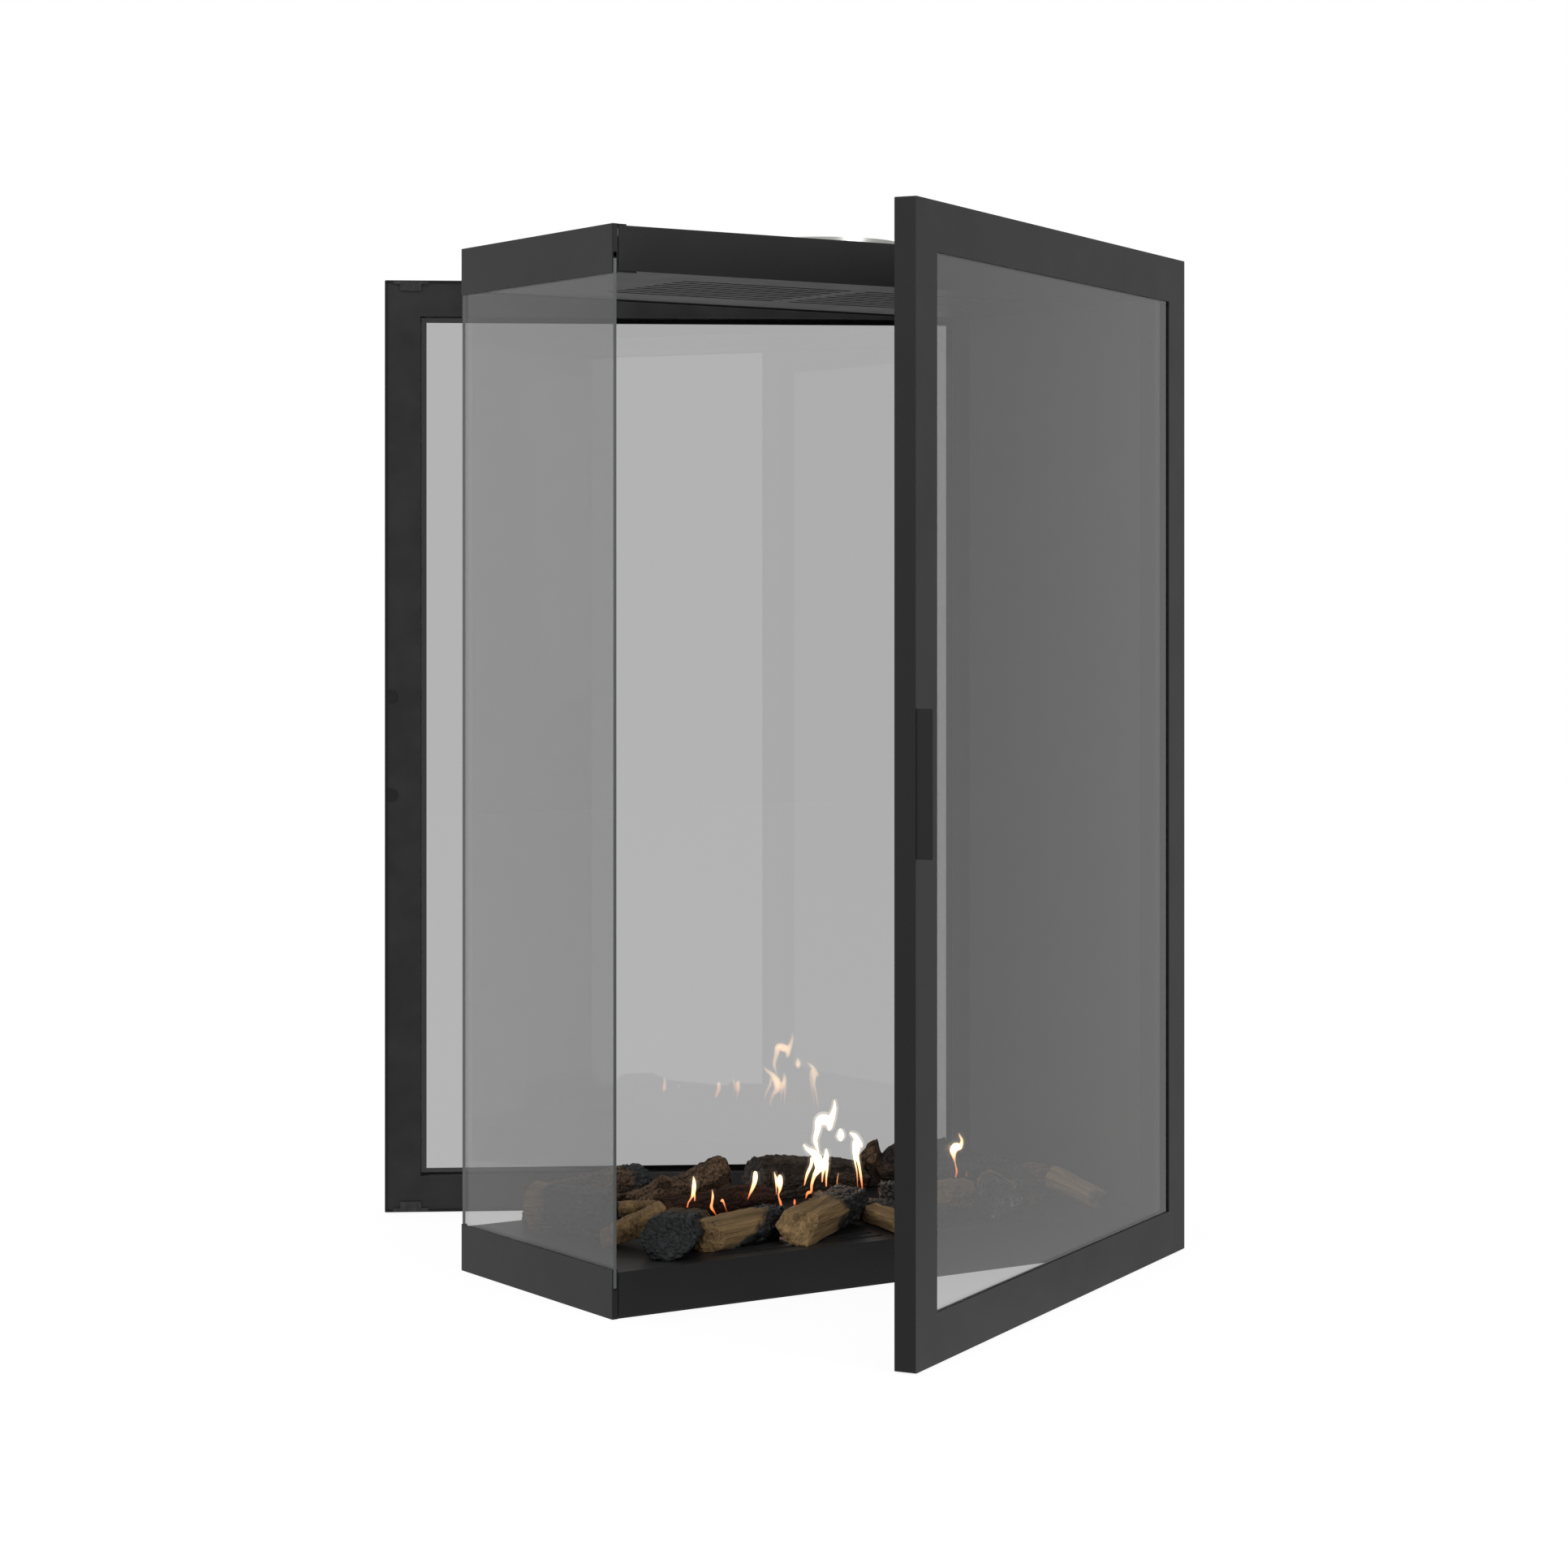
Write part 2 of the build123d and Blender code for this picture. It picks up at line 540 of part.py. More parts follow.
def tail_slots(depth, reach):
    """Cut the two slots that the handle's tails pass through."""
    for level in lug_levels:
        with Locations((tail_x - TAIL_FIT, front - depth, level)):
            Box(TAIL_THICK + 2 * TAIL_FIT, reach, TAIL_HEIGHT + 2 * TAIL_FIT,
                align=(Align.MIN, Align.CENTER, Align.CENTER), mode=Mode.SUBTRACT)


# Door tray: outer plate with its opening, and the rim folded back round it
with BuildPart() as door_tray:
    with BuildSketch(door_plane(DOOR_GAP)):
        with Locations(door_centre):
            Rectangle(door_length, door_height)
            Rectangle(door_length - 2 * DOOR_RIM, door_height - 2 * DOOR_RIM, mode=Mode.SUBTRACT)
    extrude(amount=DOOR_THICK)
    with BuildSketch(door_plane(outer_face)):
        with Locations(door_centre):
            Rectangle(door_length, door_height)
            Rectangle(view_length, view_height, mode=Mode.SUBTRACT)
    extrude(amount=-PLATE)
    outer_corners = door_tray.edges().filter_by(Axis.Y).filter_by(lambda e: e.length > DOOR_THICK / 2)
    fillet(outer_corners.group_by(Axis.X)[0] + outer_corners.group_by(Axis.X)[-1], DOOR_CORNER)
    for level in (DOOR_CLEAR, HEIGHT - DOOR_CLEAR):
        with Locations((left + LATCH_INSET, front - DOOR_GAP, level)):
            Box(LATCH_LENGTH, 2 * LATCH_THICK, 2 * LATCH_STRIP,
                align=(Align.MIN, Align.CENTER, Align.CENTER), mode=Mode.SUBTRACT)
    tail_slots(outer_face, 3 * PLATE)
write_door(door_tray.part, "door_tray")

# Door retainer: recessed inner frame whose lip presses the glass
with BuildPart() as door_retainer:
    with BuildSketch(door_plane(retainer_depth)):
        with Locations(door_centre):
            Rectangle(door_length - 2 * DOOR_RIM, door_height - 2 * DOOR_RIM)
            Rectangle(view_length + 2 * REVEAL, view_height + 2 * REVEAL, mode=Mode.SUBTRACT)
    extrude(amount=PLATE)
    with BuildSketch(door_plane(retainer_depth)):
        with Locations(door_centre):
            Rectangle(view_length + 2 * REVEAL + 2 * PLATE, view_height + 2 * REVEAL + 2 * PLATE)
            Rectangle(view_length + 2 * REVEAL, view_height + 2 * REVEAL, mode=Mode.SUBTRACT)
    extrude(amount=glass_depth - TAPE - retainer_depth)
    tail_slots(retainer_depth, 3 * PLATE)
write_door(door_retainer.part, "door_retainer")

with BuildPart() as door_glass:
    with BuildSketch(door_plane(glass_depth)):
        with Locations(door_centre):
            Rectangle(view_length + 2 * GLASS_LAP, view_height + 2 * GLASS_LAP)
    extrude(amount=GLASS)
write_door(door_glass.part, "door_glass")

with BuildPart() as door_glass_tape:
    with BuildSketch(door_plane(glass_depth - TAPE)):
        with Locations(door_centre):
            Rectangle(view_length + 2 * REVEAL + 2 * TAPE_WIDTH, view_height + 2 * REVEAL + 2 * TAPE_WIDTH)
            Rectangle(view_length + 2 * REVEAL, view_height + 2 * REVEAL, mode=Mode.SUBTRACT)
    extrude(amount=TAPE)
write_door(door_glass_tape.part, "door_glass_tape")

# Door handle: upright blade, with two tails through the door to half-round lugs inside
with BuildPart() as door_handle:
    with Locations((left + HANDLE_INSET, front - outer_face, HANDLE_LEVEL)):
        Box(HANDLE_THICK, HANDLE_REACH, HANDLE_HEIGHT, align=(Align.MIN, Align.MAX, Align.CENTER))
    fillet(door_handle.edges().filter_by(Axis.X).group_by(Axis.Y)[0], BEND)
    for level in lug_levels:
        with Locations((tail_x, front - outer_face, level)):
            Box(TAIL_THICK, outer_face - retainer_depth + LUG_THICK, TAIL_HEIGHT,
                align=(Align.MIN, Align.MIN, Align.CENTER))
    with BuildSketch(door_plane(retainer_depth)):
        for level in lug_levels:
            with Locations((left + LUG_REACH - LUG_RADIUS, level)):
                Circle(LUG_RADIUS)
                Rectangle(LUG_REACH - LUG_RADIUS - DOOR_RIM - TAIL_FIT, 2 * LUG_RADIUS,
                          align=(Align.MAX, Align.CENTER))
    extrude(amount=-LUG_THICK)
    with Locations((left + DOOR_RIM + TAIL_FIT, front - retainer_depth, HANDLE_LEVEL)):
        Box(2 * LUG_RADIUS, 2 * LUG_THICK, 2 * LUG_SPACING, align=(Align.MAX, Align.MIN, Align.CENTER),
            mode=Mode.SUBTRACT)
write_door(door_handle.part, "door_handle")

# Door latches: T-shaped plates let into the rim at the top and the foot of the free edge
with BuildPart() as door_latches:
    with BuildSketch(door_plane(DOOR_GAP)):
        with Locations((left + LATCH_INSET + LATCH_LENGTH / 2, DOOR_CLEAR)):
            Rectangle(LATCH_LENGTH, LATCH_STRIP, align=(Align.CENTER, Align.MIN))
            Rectangle(LATCH_TAB, LATCH_REACH, align=(Align.CENTER, Align.MIN))
        with Locations((left + LATCH_INSET + LATCH_LENGTH / 2, HEIGHT - DOOR_CLEAR)):
            Rectangle(LATCH_LENGTH, LATCH_STRIP, align=(Align.CENTER, Align.MAX))
            Rectangle(LATCH_TAB, LATCH_REACH, align=(Align.CENTER, Align.MAX))
    extrude(amount=LATCH_THICK)
write_door(door_latches.part, "door_latches")

# Door knuckles: upper barrels, welded to the door's edge, bored to run on the pins
with BuildPart() as door_knuckles:
    for level in hinge_levels:
        with Locations((pivot_x, pivot_y, level + HINGE_PLAY)):
            Cylinder(HINGE_RADIUS, HINGE_BARREL, align=MIDDLE)
        with Locations((door_edge, pivot_y - HINGE_OFFSET_Y / 2, level + HINGE_PLAY)):
            Box(HINGE_OFFSET_X, HINGE_OFFSET_Y, HINGE_BARREL, align=(Align.MIN, Align.CENTER, Align.MIN))
    for level in hinge_levels:
        with Locations((pivot_x, pivot_y, level)):
            Cylinder(HINGE_PIN_RADIUS + HINGE_BORE_FIT, 3 * HINGE_BARREL, mode=Mode.SUBTRACT)
write_door(door_knuckles.part, "door_knuckles")

# Log fire: ceramic castings of split and charred wood. Each lies on the hearth and on the logs
# laid before it, and is cast with a seat for them, so it is cut to the shape of what it meets.
laid_logs = []
hearth_x = (inner_left + chamber_right) / 2
reach_x = (chamber_right - inner_left) / 200
reach_y = DEPTH / 200


def log_ring(place, width, height, split_face, grain):
    """Corners of a lumpy oval whose top is a flat split face where split_face is under 1."""
    corners = []
    for side in range(LOG_SIDES):
        angle = 2 * pi * side / LOG_SIDES
        bulge = 0.5 + LOG_LUMPS * (sin(2 * angle + grain) + cos(3 * angle - 2 * grain))
        corner = Vector(width * bulge * cos(angle), height * min(bulge * sin(angle), split_face / 2), 0)
        corners.append(place.from_local_coords(corner))
    return corners


def flat_sided(rings):
    """Solid with flat faces from ring to ring. All rings are one shape at various sizes."""
    faces = [Face(Wire.make_polygon(ring)) for ring in (rings[0], rings[-1])]
    for near, far in zip(rings, rings[1:]):
        for side in range(LOG_SIDES):
            corners = [near[side - 1], near[side], far[side], far[side - 1]]
            faces.append(Face(Wire.make_polygon(corners)))
    return Solid(Shell(faces))


def lay_log(butt, tip, width, height, lift=(0, 0), taper=0.85, split_face=1.0, roll=0, bow=0, grain=0.0):
    """Build a log between the middles of its ends, bed it, and cut the seats of the logs under it.

    butt and tip are in percent of the half hearth along X and Y. width, height, lift and bow are
    in percent of LOG_GIRTH. height is what shows over the hearth, lift is what is under each end.
    """
    percent = LOG_GIRTH / 100
    oval = height * percent / (LOG_BEDDING + split_face / 2)
    start = Vector(hearth_x + reach_x * butt[0], reach_y * butt[1], HEARTH_LEVEL + percent * lift[0])
    run = Vector(hearth_x + reach_x * tip[0], reach_y * tip[1], HEARTH_LEVEL + percent * lift[1]) - start
    across = Vector(0, 0, 1).cross(run).normalized()
    rings = []
    for station in range(LOG_STATIONS):
        share = station / (LOG_STATIONS - 1)
        size = 1 - (1 - taper) * share + LOG_LUMPS * sin(6 * share + grain)
        middle = start + run * share + across * bow * percent * sin(pi * share)
        middle += Vector(0, 0, LOG_BEDDING * oval * size)
        place = Plane(middle, x_dir=across, z_dir=run).rotated((0, 0, roll))
        rings.append(log_ring(place, width * percent * size, oval * size, split_face, grain))
    with BuildPart() as casting:
        add(flat_sided(rings))
        for end, inward in ((start, run), (start + run, -run)):
            cut = Plane(end + inward.normalized() * LOG_END_CUT, x_dir=across, z_dir=inward)
            split(bisect_by=cut.rotated((0, LOG_END_SLANT * cos(grain), 0)), keep=Keep.TOP)
        split(bisect_by=Plane.XY.offset(HEARTH_LEVEL), keep=Keep.TOP)
        for log in laid_logs:
            add(log, mode=Mode.SUBTRACT)
    laid_logs.append(casting.part)
    return casting.part


# From the back of the hearth to the front
write(lay_log((2, 79), (46, 79), 50, 58, taper=0.9, bow=5, grain=0.4), "rear_charred_log")
write(lay_log((-84, 83), (-41, 67), 48, 48, taper=1.15, split_face=0.6, roll=-20, grain=1.9),
      "rear_left_log")
write(lay_log((-56, 46), (-13, 68), 42, 44, lift=(0, 28), bow=-6, grain=3.1), "rear_bark_log")
write(lay_log((51, 77), (84, 78), 46, 62, taper=0.75, grain=4.4), "rear_right_log")
write(lay_log((70, 56), (92, 16), 44, 46, split_face=0.7, roll=15, grain=5.2), "corner_log")
write(lay_log((-49, 24), (-8, 19), 36, 34, split_face=0.7, roll=-10, grain=2.2), "middle_log")
write(lay_log((6, 10), (19, -54), 36, 30, taper=0.9, grain=0.9), "centre_log")
write(lay_log((-88, 53), (-75, -4), 50, 64, taper=0.95, bow=4, grain=3.7), "left_charred_log")
write(lay_log((-80, -86), (-56, -36), 52, 50, split_face=0.7, roll=-25, grain=1.2), "front_left_log")
with BuildPart() as split_sticks:
    add(lay_log((-74, 17), (-60, -13), 22, 20, lift=(20, 26), split_face=0.4, grain=2.7))
    add(lay_log((-84, -20), (-63, -28), 20, 18, lift=(0, 18), taper=1.7, split_face=0.4, grain=5.9))
split_sticks.part.label = "split_sticks"
export_step(split_sticks.part, "parts/split_sticks.step")
write(lay_log((-61, -72), (-29, -52), 44, 36, taper=1.1, split_face=0.6, roll=18, grain=4.9),
      "front_split_log")
write(lay_log((-33, -86), (6, -35), 42, 36, lift=(0, 8), taper=1.1, split_face=0.7, roll=-15, grain=0.2),
      "front_cross_log")
write(lay_log((13, -37), (8, -92), 44, 22, split_face=0.6, roll=22, grain=3.4), "front_right_log")
write(lay_log((49, -82), (65, -30), 44, 48, taper=0.95, bow=4, grain=1.6), "right_charred_log")
with BuildPart() as right_split_logs:
    add(lay_log((23, -22), (55, -37), 36, 40, split_face=0.4, roll=12, grain=2.5))
    add(lay_log((17, -64), (36, -64), 38, 20, split_face=0.4, roll=12, grain=2.5))
right_split_logs.part.label = "right_split_logs"
export_step(right_split_logs.part, "parts/right_split_logs.step")
write(lay_log((70, -36), (88, -42), 40, 50, split_face=0.8, roll=-30, grain=5.5), "right_inner_log")
write(lay_log((81, -47), (88, -88), 34, 26, lift=(24, 0), split_face=0.4, grain=0.7), "end_split_log")
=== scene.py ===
import math

import bmesh
import bpy
import numpy as np
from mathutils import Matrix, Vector, noise


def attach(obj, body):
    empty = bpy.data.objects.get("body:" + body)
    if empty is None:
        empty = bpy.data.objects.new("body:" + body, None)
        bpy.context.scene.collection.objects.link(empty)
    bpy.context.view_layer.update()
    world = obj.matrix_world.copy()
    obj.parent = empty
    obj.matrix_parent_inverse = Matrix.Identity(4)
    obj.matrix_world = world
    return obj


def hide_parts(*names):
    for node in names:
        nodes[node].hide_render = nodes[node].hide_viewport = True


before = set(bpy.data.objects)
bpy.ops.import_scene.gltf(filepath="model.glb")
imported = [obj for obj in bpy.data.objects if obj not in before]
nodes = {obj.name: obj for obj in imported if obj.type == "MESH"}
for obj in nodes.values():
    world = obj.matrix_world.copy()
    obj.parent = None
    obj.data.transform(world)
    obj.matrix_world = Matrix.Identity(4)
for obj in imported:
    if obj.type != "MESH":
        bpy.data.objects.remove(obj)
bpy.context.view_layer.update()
MM = 0.001


# Casing, door frames and handles.
# Folded mild steel sheet, sprayed with epoxy polyester powder and baked. The powder flows to a
# satin skin with a very fine orange peel, which breaks reflections up into a soft mottle.
COAT_COLOUR = "#171719"
COAT_SHADE = "#111112"
COAT_ORANGE_PEEL = 1.3 * MM  # coarser than the real 0.3 mm, so that it shows
COAT_CLOUD = 70 * MM


def linear(hex_colour):
    """Turn an sRGB hex colour into linear RGBA."""
    channels = [int(hex_colour[i:i + 2], 16) / 255 for i in (1, 3, 5)]
    return [c / 12.92 if c <= 0.04045 else ((c + 0.055) / 1.055) ** 2.4 for c in channels] + [1.0]


def blank_material(name):
    """Start a material with no nodes in it."""
    material = bpy.data.materials.new(name)
    material.use_nodes = True
    material.node_tree.nodes.clear()
    return material


def add_node(material, kind, inputs=None, stops=(), **settings):
    """Add a node. Each input is a value, or the node or output that is linked to it."""
    made = material.node_tree.nodes.new(kind)
    for name, value in settings.items():
        setattr(made, name, value)
    for name, value in (inputs or {}).items():
        if isinstance(value, bpy.types.Node):
            value = value.outputs[0]
        if isinstance(value, bpy.types.NodeSocket):
            material.node_tree.links.new(value, made.inputs[name])
        else:
            made.inputs[name].default_value = value
    for index, (place, colour) in enumerate(stops):
        elements = made.color_ramp.elements
        element = elements[index] if index < 2 else elements.new(place)
        element.position = place
        element.color = linear(colour)
    return made


def dress(material, *names):
    """Give CAD nodes their finish."""
    for name in names:
        nodes[name].data.materials.clear()
        nodes[name].data.materials.append(material)


powder_coat = blank_material("satin_powder_coat")
place = add_node(powder_coat, "ShaderNodeTexCoord").outputs["Object"]
peel = add_node(powder_coat, "ShaderNodeTexNoise", {
    "Vector": place, "Scale": 1 / COAT_ORANGE_PEEL, "Detail": 2.0})
cloud = add_node(powder_coat, "ShaderNodeTexNoise", {
    "Vector": place, "Scale": 1 / COAT_CLOUD, "Detail": 3.0})
tone = add_node(powder_coat, "ShaderNodeValToRGB", {"Fac": peel}, [(0.35, COAT_SHADE), (0.65, COAT_COLOUR)])
gloss = add_node(powder_coat, "ShaderNodeMapRange", {"Value": cloud, "To Min": 0.42, "To Max": 0.52})
dimple = add_node(powder_coat, "ShaderNodeBump", {"Height": peel, "Strength": 0.25, "Distance": 0.06 * MM})
skin = add_node(powder_coat, "ShaderNodeBsdfPrincipled", {
    "Base Color": tone, "Roughness": gloss, "Specular IOR Level": 0.25, "Normal": dimple})
add_node(powder_coat, "ShaderNodeOutputMaterial", {"Surface": skin})
dress(powder_coat, "side_lower_fascia", "side_upper_fascia", "front_lower_fascia", "rear_lower_fascia",
      "front_upper_fascia", "rear_upper_fascia", "end_wall_casing", "front_hinge_post", "rear_hinge_post",
      "front_door_tray", "rear_door_tray", "front_door_handle", "rear_door_handle", "door_strikes")


# Hearth, ceiling, end wall and the frames inside the doors.
# Steel plate sprayed with silicone stove paint, which cures to a dead matt skin with a dusty
# look, and turns a little browner and glossier where the fire has baked it.
PAINT_COLOUR = "#2e2e2f"
PAINT_BAKED = "#252323"
PAINT_GRIT = 0.9 * MM  # coarser than the real 0.2 mm, so that it shows
PAINT_CLOUD = 45 * MM
stove_paint = blank_material("matt_stove_paint")
place = add_node(stove_paint, "ShaderNodeTexCoord").outputs["Object"]
grit = add_node(stove_paint, "ShaderNodeTexNoise", {
    "Vector": place, "Scale": 1 / PAINT_GRIT, "Detail": 2.0})
cloud = add_node(stove_paint, "ShaderNodeTexNoise", {
    "Vector": place, "Scale": 1 / PAINT_CLOUD, "Detail": 4.0})
tone = add_node(stove_paint, "ShaderNodeValToRGB", {"Fac": cloud},
                [(0.35, PAINT_BAKED), (0.65, PAINT_COLOUR)])
gloss = add_node(stove_paint, "ShaderNodeMapRange", {"Value": cloud, "To Min": 0.34, "To Max": 0.46})
dust = add_node(stove_paint, "ShaderNodeBump", {"Height": grit, "Strength": 0.2, "Distance": 0.05 * MM})
skin = add_node(stove_paint, "ShaderNodeBsdfPrincipled", {
    "Base Color": tone, "Roughness": gloss, "Specular IOR Level": 0.24, "Normal": dust})
add_node(stove_paint, "ShaderNodeOutputMaterial", {"Surface": skin})
dress(stove_paint, "hearth_plate", "ceiling_grille", "end_wall_liner", "burner_deck", "front_door_retainer",
      "rear_door_retainer", "front_base_rail", "rear_base_rail", "left_base_rail", "right_base_rail")


# Hinge leaves, barrels and pins, knuckles and latch plates.
# Turned and stamped steel, chemically blackened: a thin dark oxide over bare metal, oiled, with
# a low sheen and faint lighter wear.
BLACKED_COLOUR = "#2a2a2c"
BLACKED_WEAR = "#3c3b3a"
BLACKED_PATCH = 6 * MM
blacked_steel = blank_material("blackened_steel")
place = add_node(blacked_steel, "ShaderNodeTexCoord").outputs["Object"]
patch = add_node(blacked_steel, "ShaderNodeTexNoise", {
    "Vector": place, "Scale": 1 / BLACKED_PATCH, "Detail": 5.0})
tone = add_node(blacked_steel, "ShaderNodeValToRGB", {"Fac": patch},
                [(0.4, BLACKED_COLOUR), (0.72, BLACKED_WEAR)])
gloss = add_node(blacked_steel, "ShaderNodeMapRange", {"Value": patch, "To Min": 0.5, "To Max": 0.34})
skin = add_node(blacked_steel, "ShaderNodeBsdfPrincipled", {
    "Base Color": tone, "Metallic": 0.6, "Roughness": gloss})
add_node(blacked_steel, "ShaderNodeOutputMaterial", {"Surface": skin})
dress(blacked_steel, "hinge_brackets", "front_door_knuckles", "rear_door_knuckles", "front_door_latches",
      "rear_door_latches")


# Burner box, flue box and top cover.
# Steel sheet hot dipped in aluminium and silicon, rolled, left bare: a dull silver skin with
# faint rolling streaks and cloudy patches.
ALUMINISED_COLOUR = "#a9abad"
ALUMINISED_SHADE = "#8d9092"
ROLLING_STREAK = 0.8 * MM
ROLLING_LENGTH = 60 * MM
aluminised = blank_material("aluminised_sheet")
place = add_node(aluminised, "ShaderNodeTexCoord").outputs["Object"]
stretch = add_node(aluminised, "ShaderNodeMapping", {
    "Vector": place, "Scale": (1 / ROLLING_LENGTH, 1 / ROLLING_STREAK, 1 / ROLLING_STREAK)})
streak = add_node(aluminised, "ShaderNodeTexNoise", {"Vector": stretch, "Scale": 1.0, "Detail": 3.0})
tone = add_node(aluminised, "ShaderNodeValToRGB", {"Fac": streak},
                [(0.3, ALUMINISED_SHADE), (0.7, ALUMINISED_COLOUR)])
gloss = add_node(aluminised, "ShaderNodeMapRange", {"Value": streak, "To Min": 0.42, "To Max": 0.56})
skin = add_node(aluminised, "ShaderNodeBsdfPrincipled", {
    "Base Color": tone, "Metallic": 1.0, "Roughness": gloss})
add_node(aluminised, "ShaderNodeOutputMaterial", {"Surface": skin})
dress(aluminised, "burner_box", "flue_box", "top_cover")


# Flue collars.
# Ferritic stainless sheet, rolled to a ring and seam welded, brushed round its run, so that its
# reflections are drawn out into upright bands.
STAINLESS_COLOUR = "#c3c3c0"
STAINLESS_SHADE = "#a5a5a3"
BRUSH_LINE = 0.7 * MM  # coarser than the real 0.2 mm, so that it shows
BRUSH_LENGTH = 90 * MM
stainless = blank_material("brushed_stainless")
place = add_node(stainless, "ShaderNodeTexCoord").outputs["Object"]
stretch = add_node(stainless, "ShaderNodeMapping", {
    "Vector": place, "Scale": (1 / BRUSH_LENGTH, 1 / BRUSH_LENGTH, 1 / BRUSH_LINE)})
line = add_node(stainless, "ShaderNodeTexNoise", {"Vector": stretch, "Scale": 1.0, "Detail": 4.0})
tone = add_node(stainless, "ShaderNodeValToRGB", {"Fac": line},
                [(0.3, STAINLESS_SHADE), (0.7, STAINLESS_COLOUR)])
gloss = add_node(stainless, "ShaderNodeMapRange", {"Value": line, "To Min": 0.24, "To Max": 0.38})
skin = add_node(stainless, "ShaderNodeBsdfPrincipled", {
    "Base Color": tone, "Metallic": 1.0, "Roughness": gloss})
add_node(stainless, "ShaderNodeOutputMaterial", {"Surface": skin})
dress(stainless, "inner_flue_collar", "outer_flue_collar")


# Gas manifold and its inlet.
# Turned and drilled brass, left as machined: warm yellow, gone a little brown with handling.
BRASS_COLOUR = "#c9a552"
BRASS_TARNISH = "#94733a"
TARNISH_PATCH = 12 * MM
brass = blank_material("turned_brass")
place = add_node(brass, "ShaderNodeTexCoord").outputs["Object"]
tarnish = add_node(brass, "ShaderNodeTexNoise", {
    "Vector": place, "Scale": 1 / TARNISH_PATCH, "Detail": 4.0})
tone = add_node(brass, "ShaderNodeValToRGB", {"Fac": tarnish},
                [(0.35, BRASS_TARNISH), (0.65, BRASS_COLOUR)])
gloss = add_node(brass, "ShaderNodeMapRange", {"Value": tarnish, "To Min": 0.42, "To Max": 0.25})
skin = add_node(brass, "ShaderNodeBsdfPrincipled", {
    "Base Color": tone, "Metallic": 1.0, "Roughness": gloss})
add_node(brass, "ShaderNodeOutputMaterial", {"Surface": skin})
dress(brass, "gas_manifold")


# Pilot burner with its electrode and thermocouple.
# Nickel bearing stainless, bent and turned. The flame draws straw and blue heat colours on it,
# in bands that follow the height over the hearth; here they lie in noise patches instead.
HEAT_STRAW = "#8a7a5c"
HEAT_BLUE = "#4c5260"
HEAT_BAND = 16 * MM
heat_tinted = blank_material("heat_tinted_steel")
place = add_node(heat_tinted, "ShaderNodeTexCoord").outputs["Object"]
band = add_node(heat_tinted, "ShaderNodeTexNoise", {"Vector": place, "Scale": 1 / HEAT_BAND, "Detail": 2.0})
tone = add_node(heat_tinted, "ShaderNodeValToRGB", {"Fac": band}, [(0.4, HEAT_STRAW), (0.6, HEAT_BLUE)])
skin = add_node(heat_tinted, "ShaderNodeBsdfPrincipled", {
    "Base Color": tone, "Metallic": 1.0, "Roughness": 0.38})
add_node(heat_tinted, "ShaderNodeOutputMaterial", {"Surface": skin})
dress(heat_tinted, "pilot_burner")


# Seals round the panes.
# Black glass fibre, woven into a flat self adhesive tape and a thin strip: matt, with a fine
# diagonal weave.
TAPE_COLOUR = "#1f1f20"
TAPE_THREAD = "#2e2e30"
TAPE_WEAVE = 10.053 * MM  # coarser than the real 1.6 mm, so that it shows
WAVE_TURN = 20  # radians that a wave texture runs through in one unit
glass_fibre = blank_material("woven_glass_fibre_tape")
place = add_node(glass_fibre, "ShaderNodeTexCoord").outputs["Object"]
turned = add_node(glass_fibre, "ShaderNodeMapping", {"Vector": place, "Rotation": (0.6, 0.8, 0.0)})
weave = add_node(glass_fibre, "ShaderNodeTexWave", {
    "Vector": turned, "Scale": math.tau / (WAVE_TURN * TAPE_WEAVE), "Distortion": 0.6}, wave_type="BANDS")
tone = add_node(glass_fibre, "ShaderNodeValToRGB", {"Fac": weave}, [(0.2, TAPE_COLOUR), (0.8, TAPE_THREAD)])
rib = add_node(glass_fibre, "ShaderNodeBump", {"Height": weave, "Strength": 0.4, "Distance": 0.2 * MM})
skin = add_node(glass_fibre, "ShaderNodeBsdfPrincipled", {
    "Base Color": tone, "Roughness": 0.9, "Specular IOR Level": 0.2, "Normal": rib})
add_node(glass_fibre, "ShaderNodeOutputMaterial", {"Surface": skin})
dress(glass_fibre, "side_glass_seals", "front_door_glass_tape", "rear_door_glass_tape")


# Board in the end wall.
# Pressed mineral fibre, cut with a saw: pale, crumbly and quite matt.
BOARD_COLOUR = "#d6d0c2"
BOARD_FIBRE = "#b9b2a2"
BOARD_GRAIN = 2.5 * MM
mineral_board = blank_material("pressed_mineral_board")
place = add_node(mineral_board, "ShaderNodeTexCoord").outputs["Object"]
fibre = add_node(mineral_board, "ShaderNodeTexNoise", {
    "Vector": place, "Scale": 1 / BOARD_GRAIN, "Detail": 6.0})
tone = add_node(mineral_board, "ShaderNodeValToRGB", {"Fac": fibre},
                [(0.3, BOARD_FIBRE), (0.7, BOARD_COLOUR)])
pit = add_node(mineral_board, "ShaderNodeBump", {"Height": fibre, "Strength": 0.5, "Distance": 0.5 * MM})
skin = add_node(mineral_board, "ShaderNodeBsdfPrincipled", {
    "Base Color": tone, "Roughness": 0.95, "Specular IOR Level": 0.1, "Normal": pit})
add_node(mineral_board, "ShaderNodeOutputMaterial", {"Surface": skin})
dress(mineral_board, "end_wall_insulation")


# The panes.
# Lithium alumino silicate glass ceramic, rolled to 4 mm, ground and polished, tinted grey. Each
# face passes the square root of what a pane passes, and mirrors more as the eye gets lower. The
# end pane's edges stay bare, ground to a frosted grey, where the door panes' sit in their frames.
DOOR_PANE_PASSES = 0.43
END_PANE_PASSES = 0.45
PANE_MIRRORS = 0.04  # of light that meets it squarely, for an index of 1.5
PANE_RISE = 4.7  # power that follows the real curve for this index
EDGE_COLOUR = "#5d605f"
EDGE_GRIND = 1.2 * MM


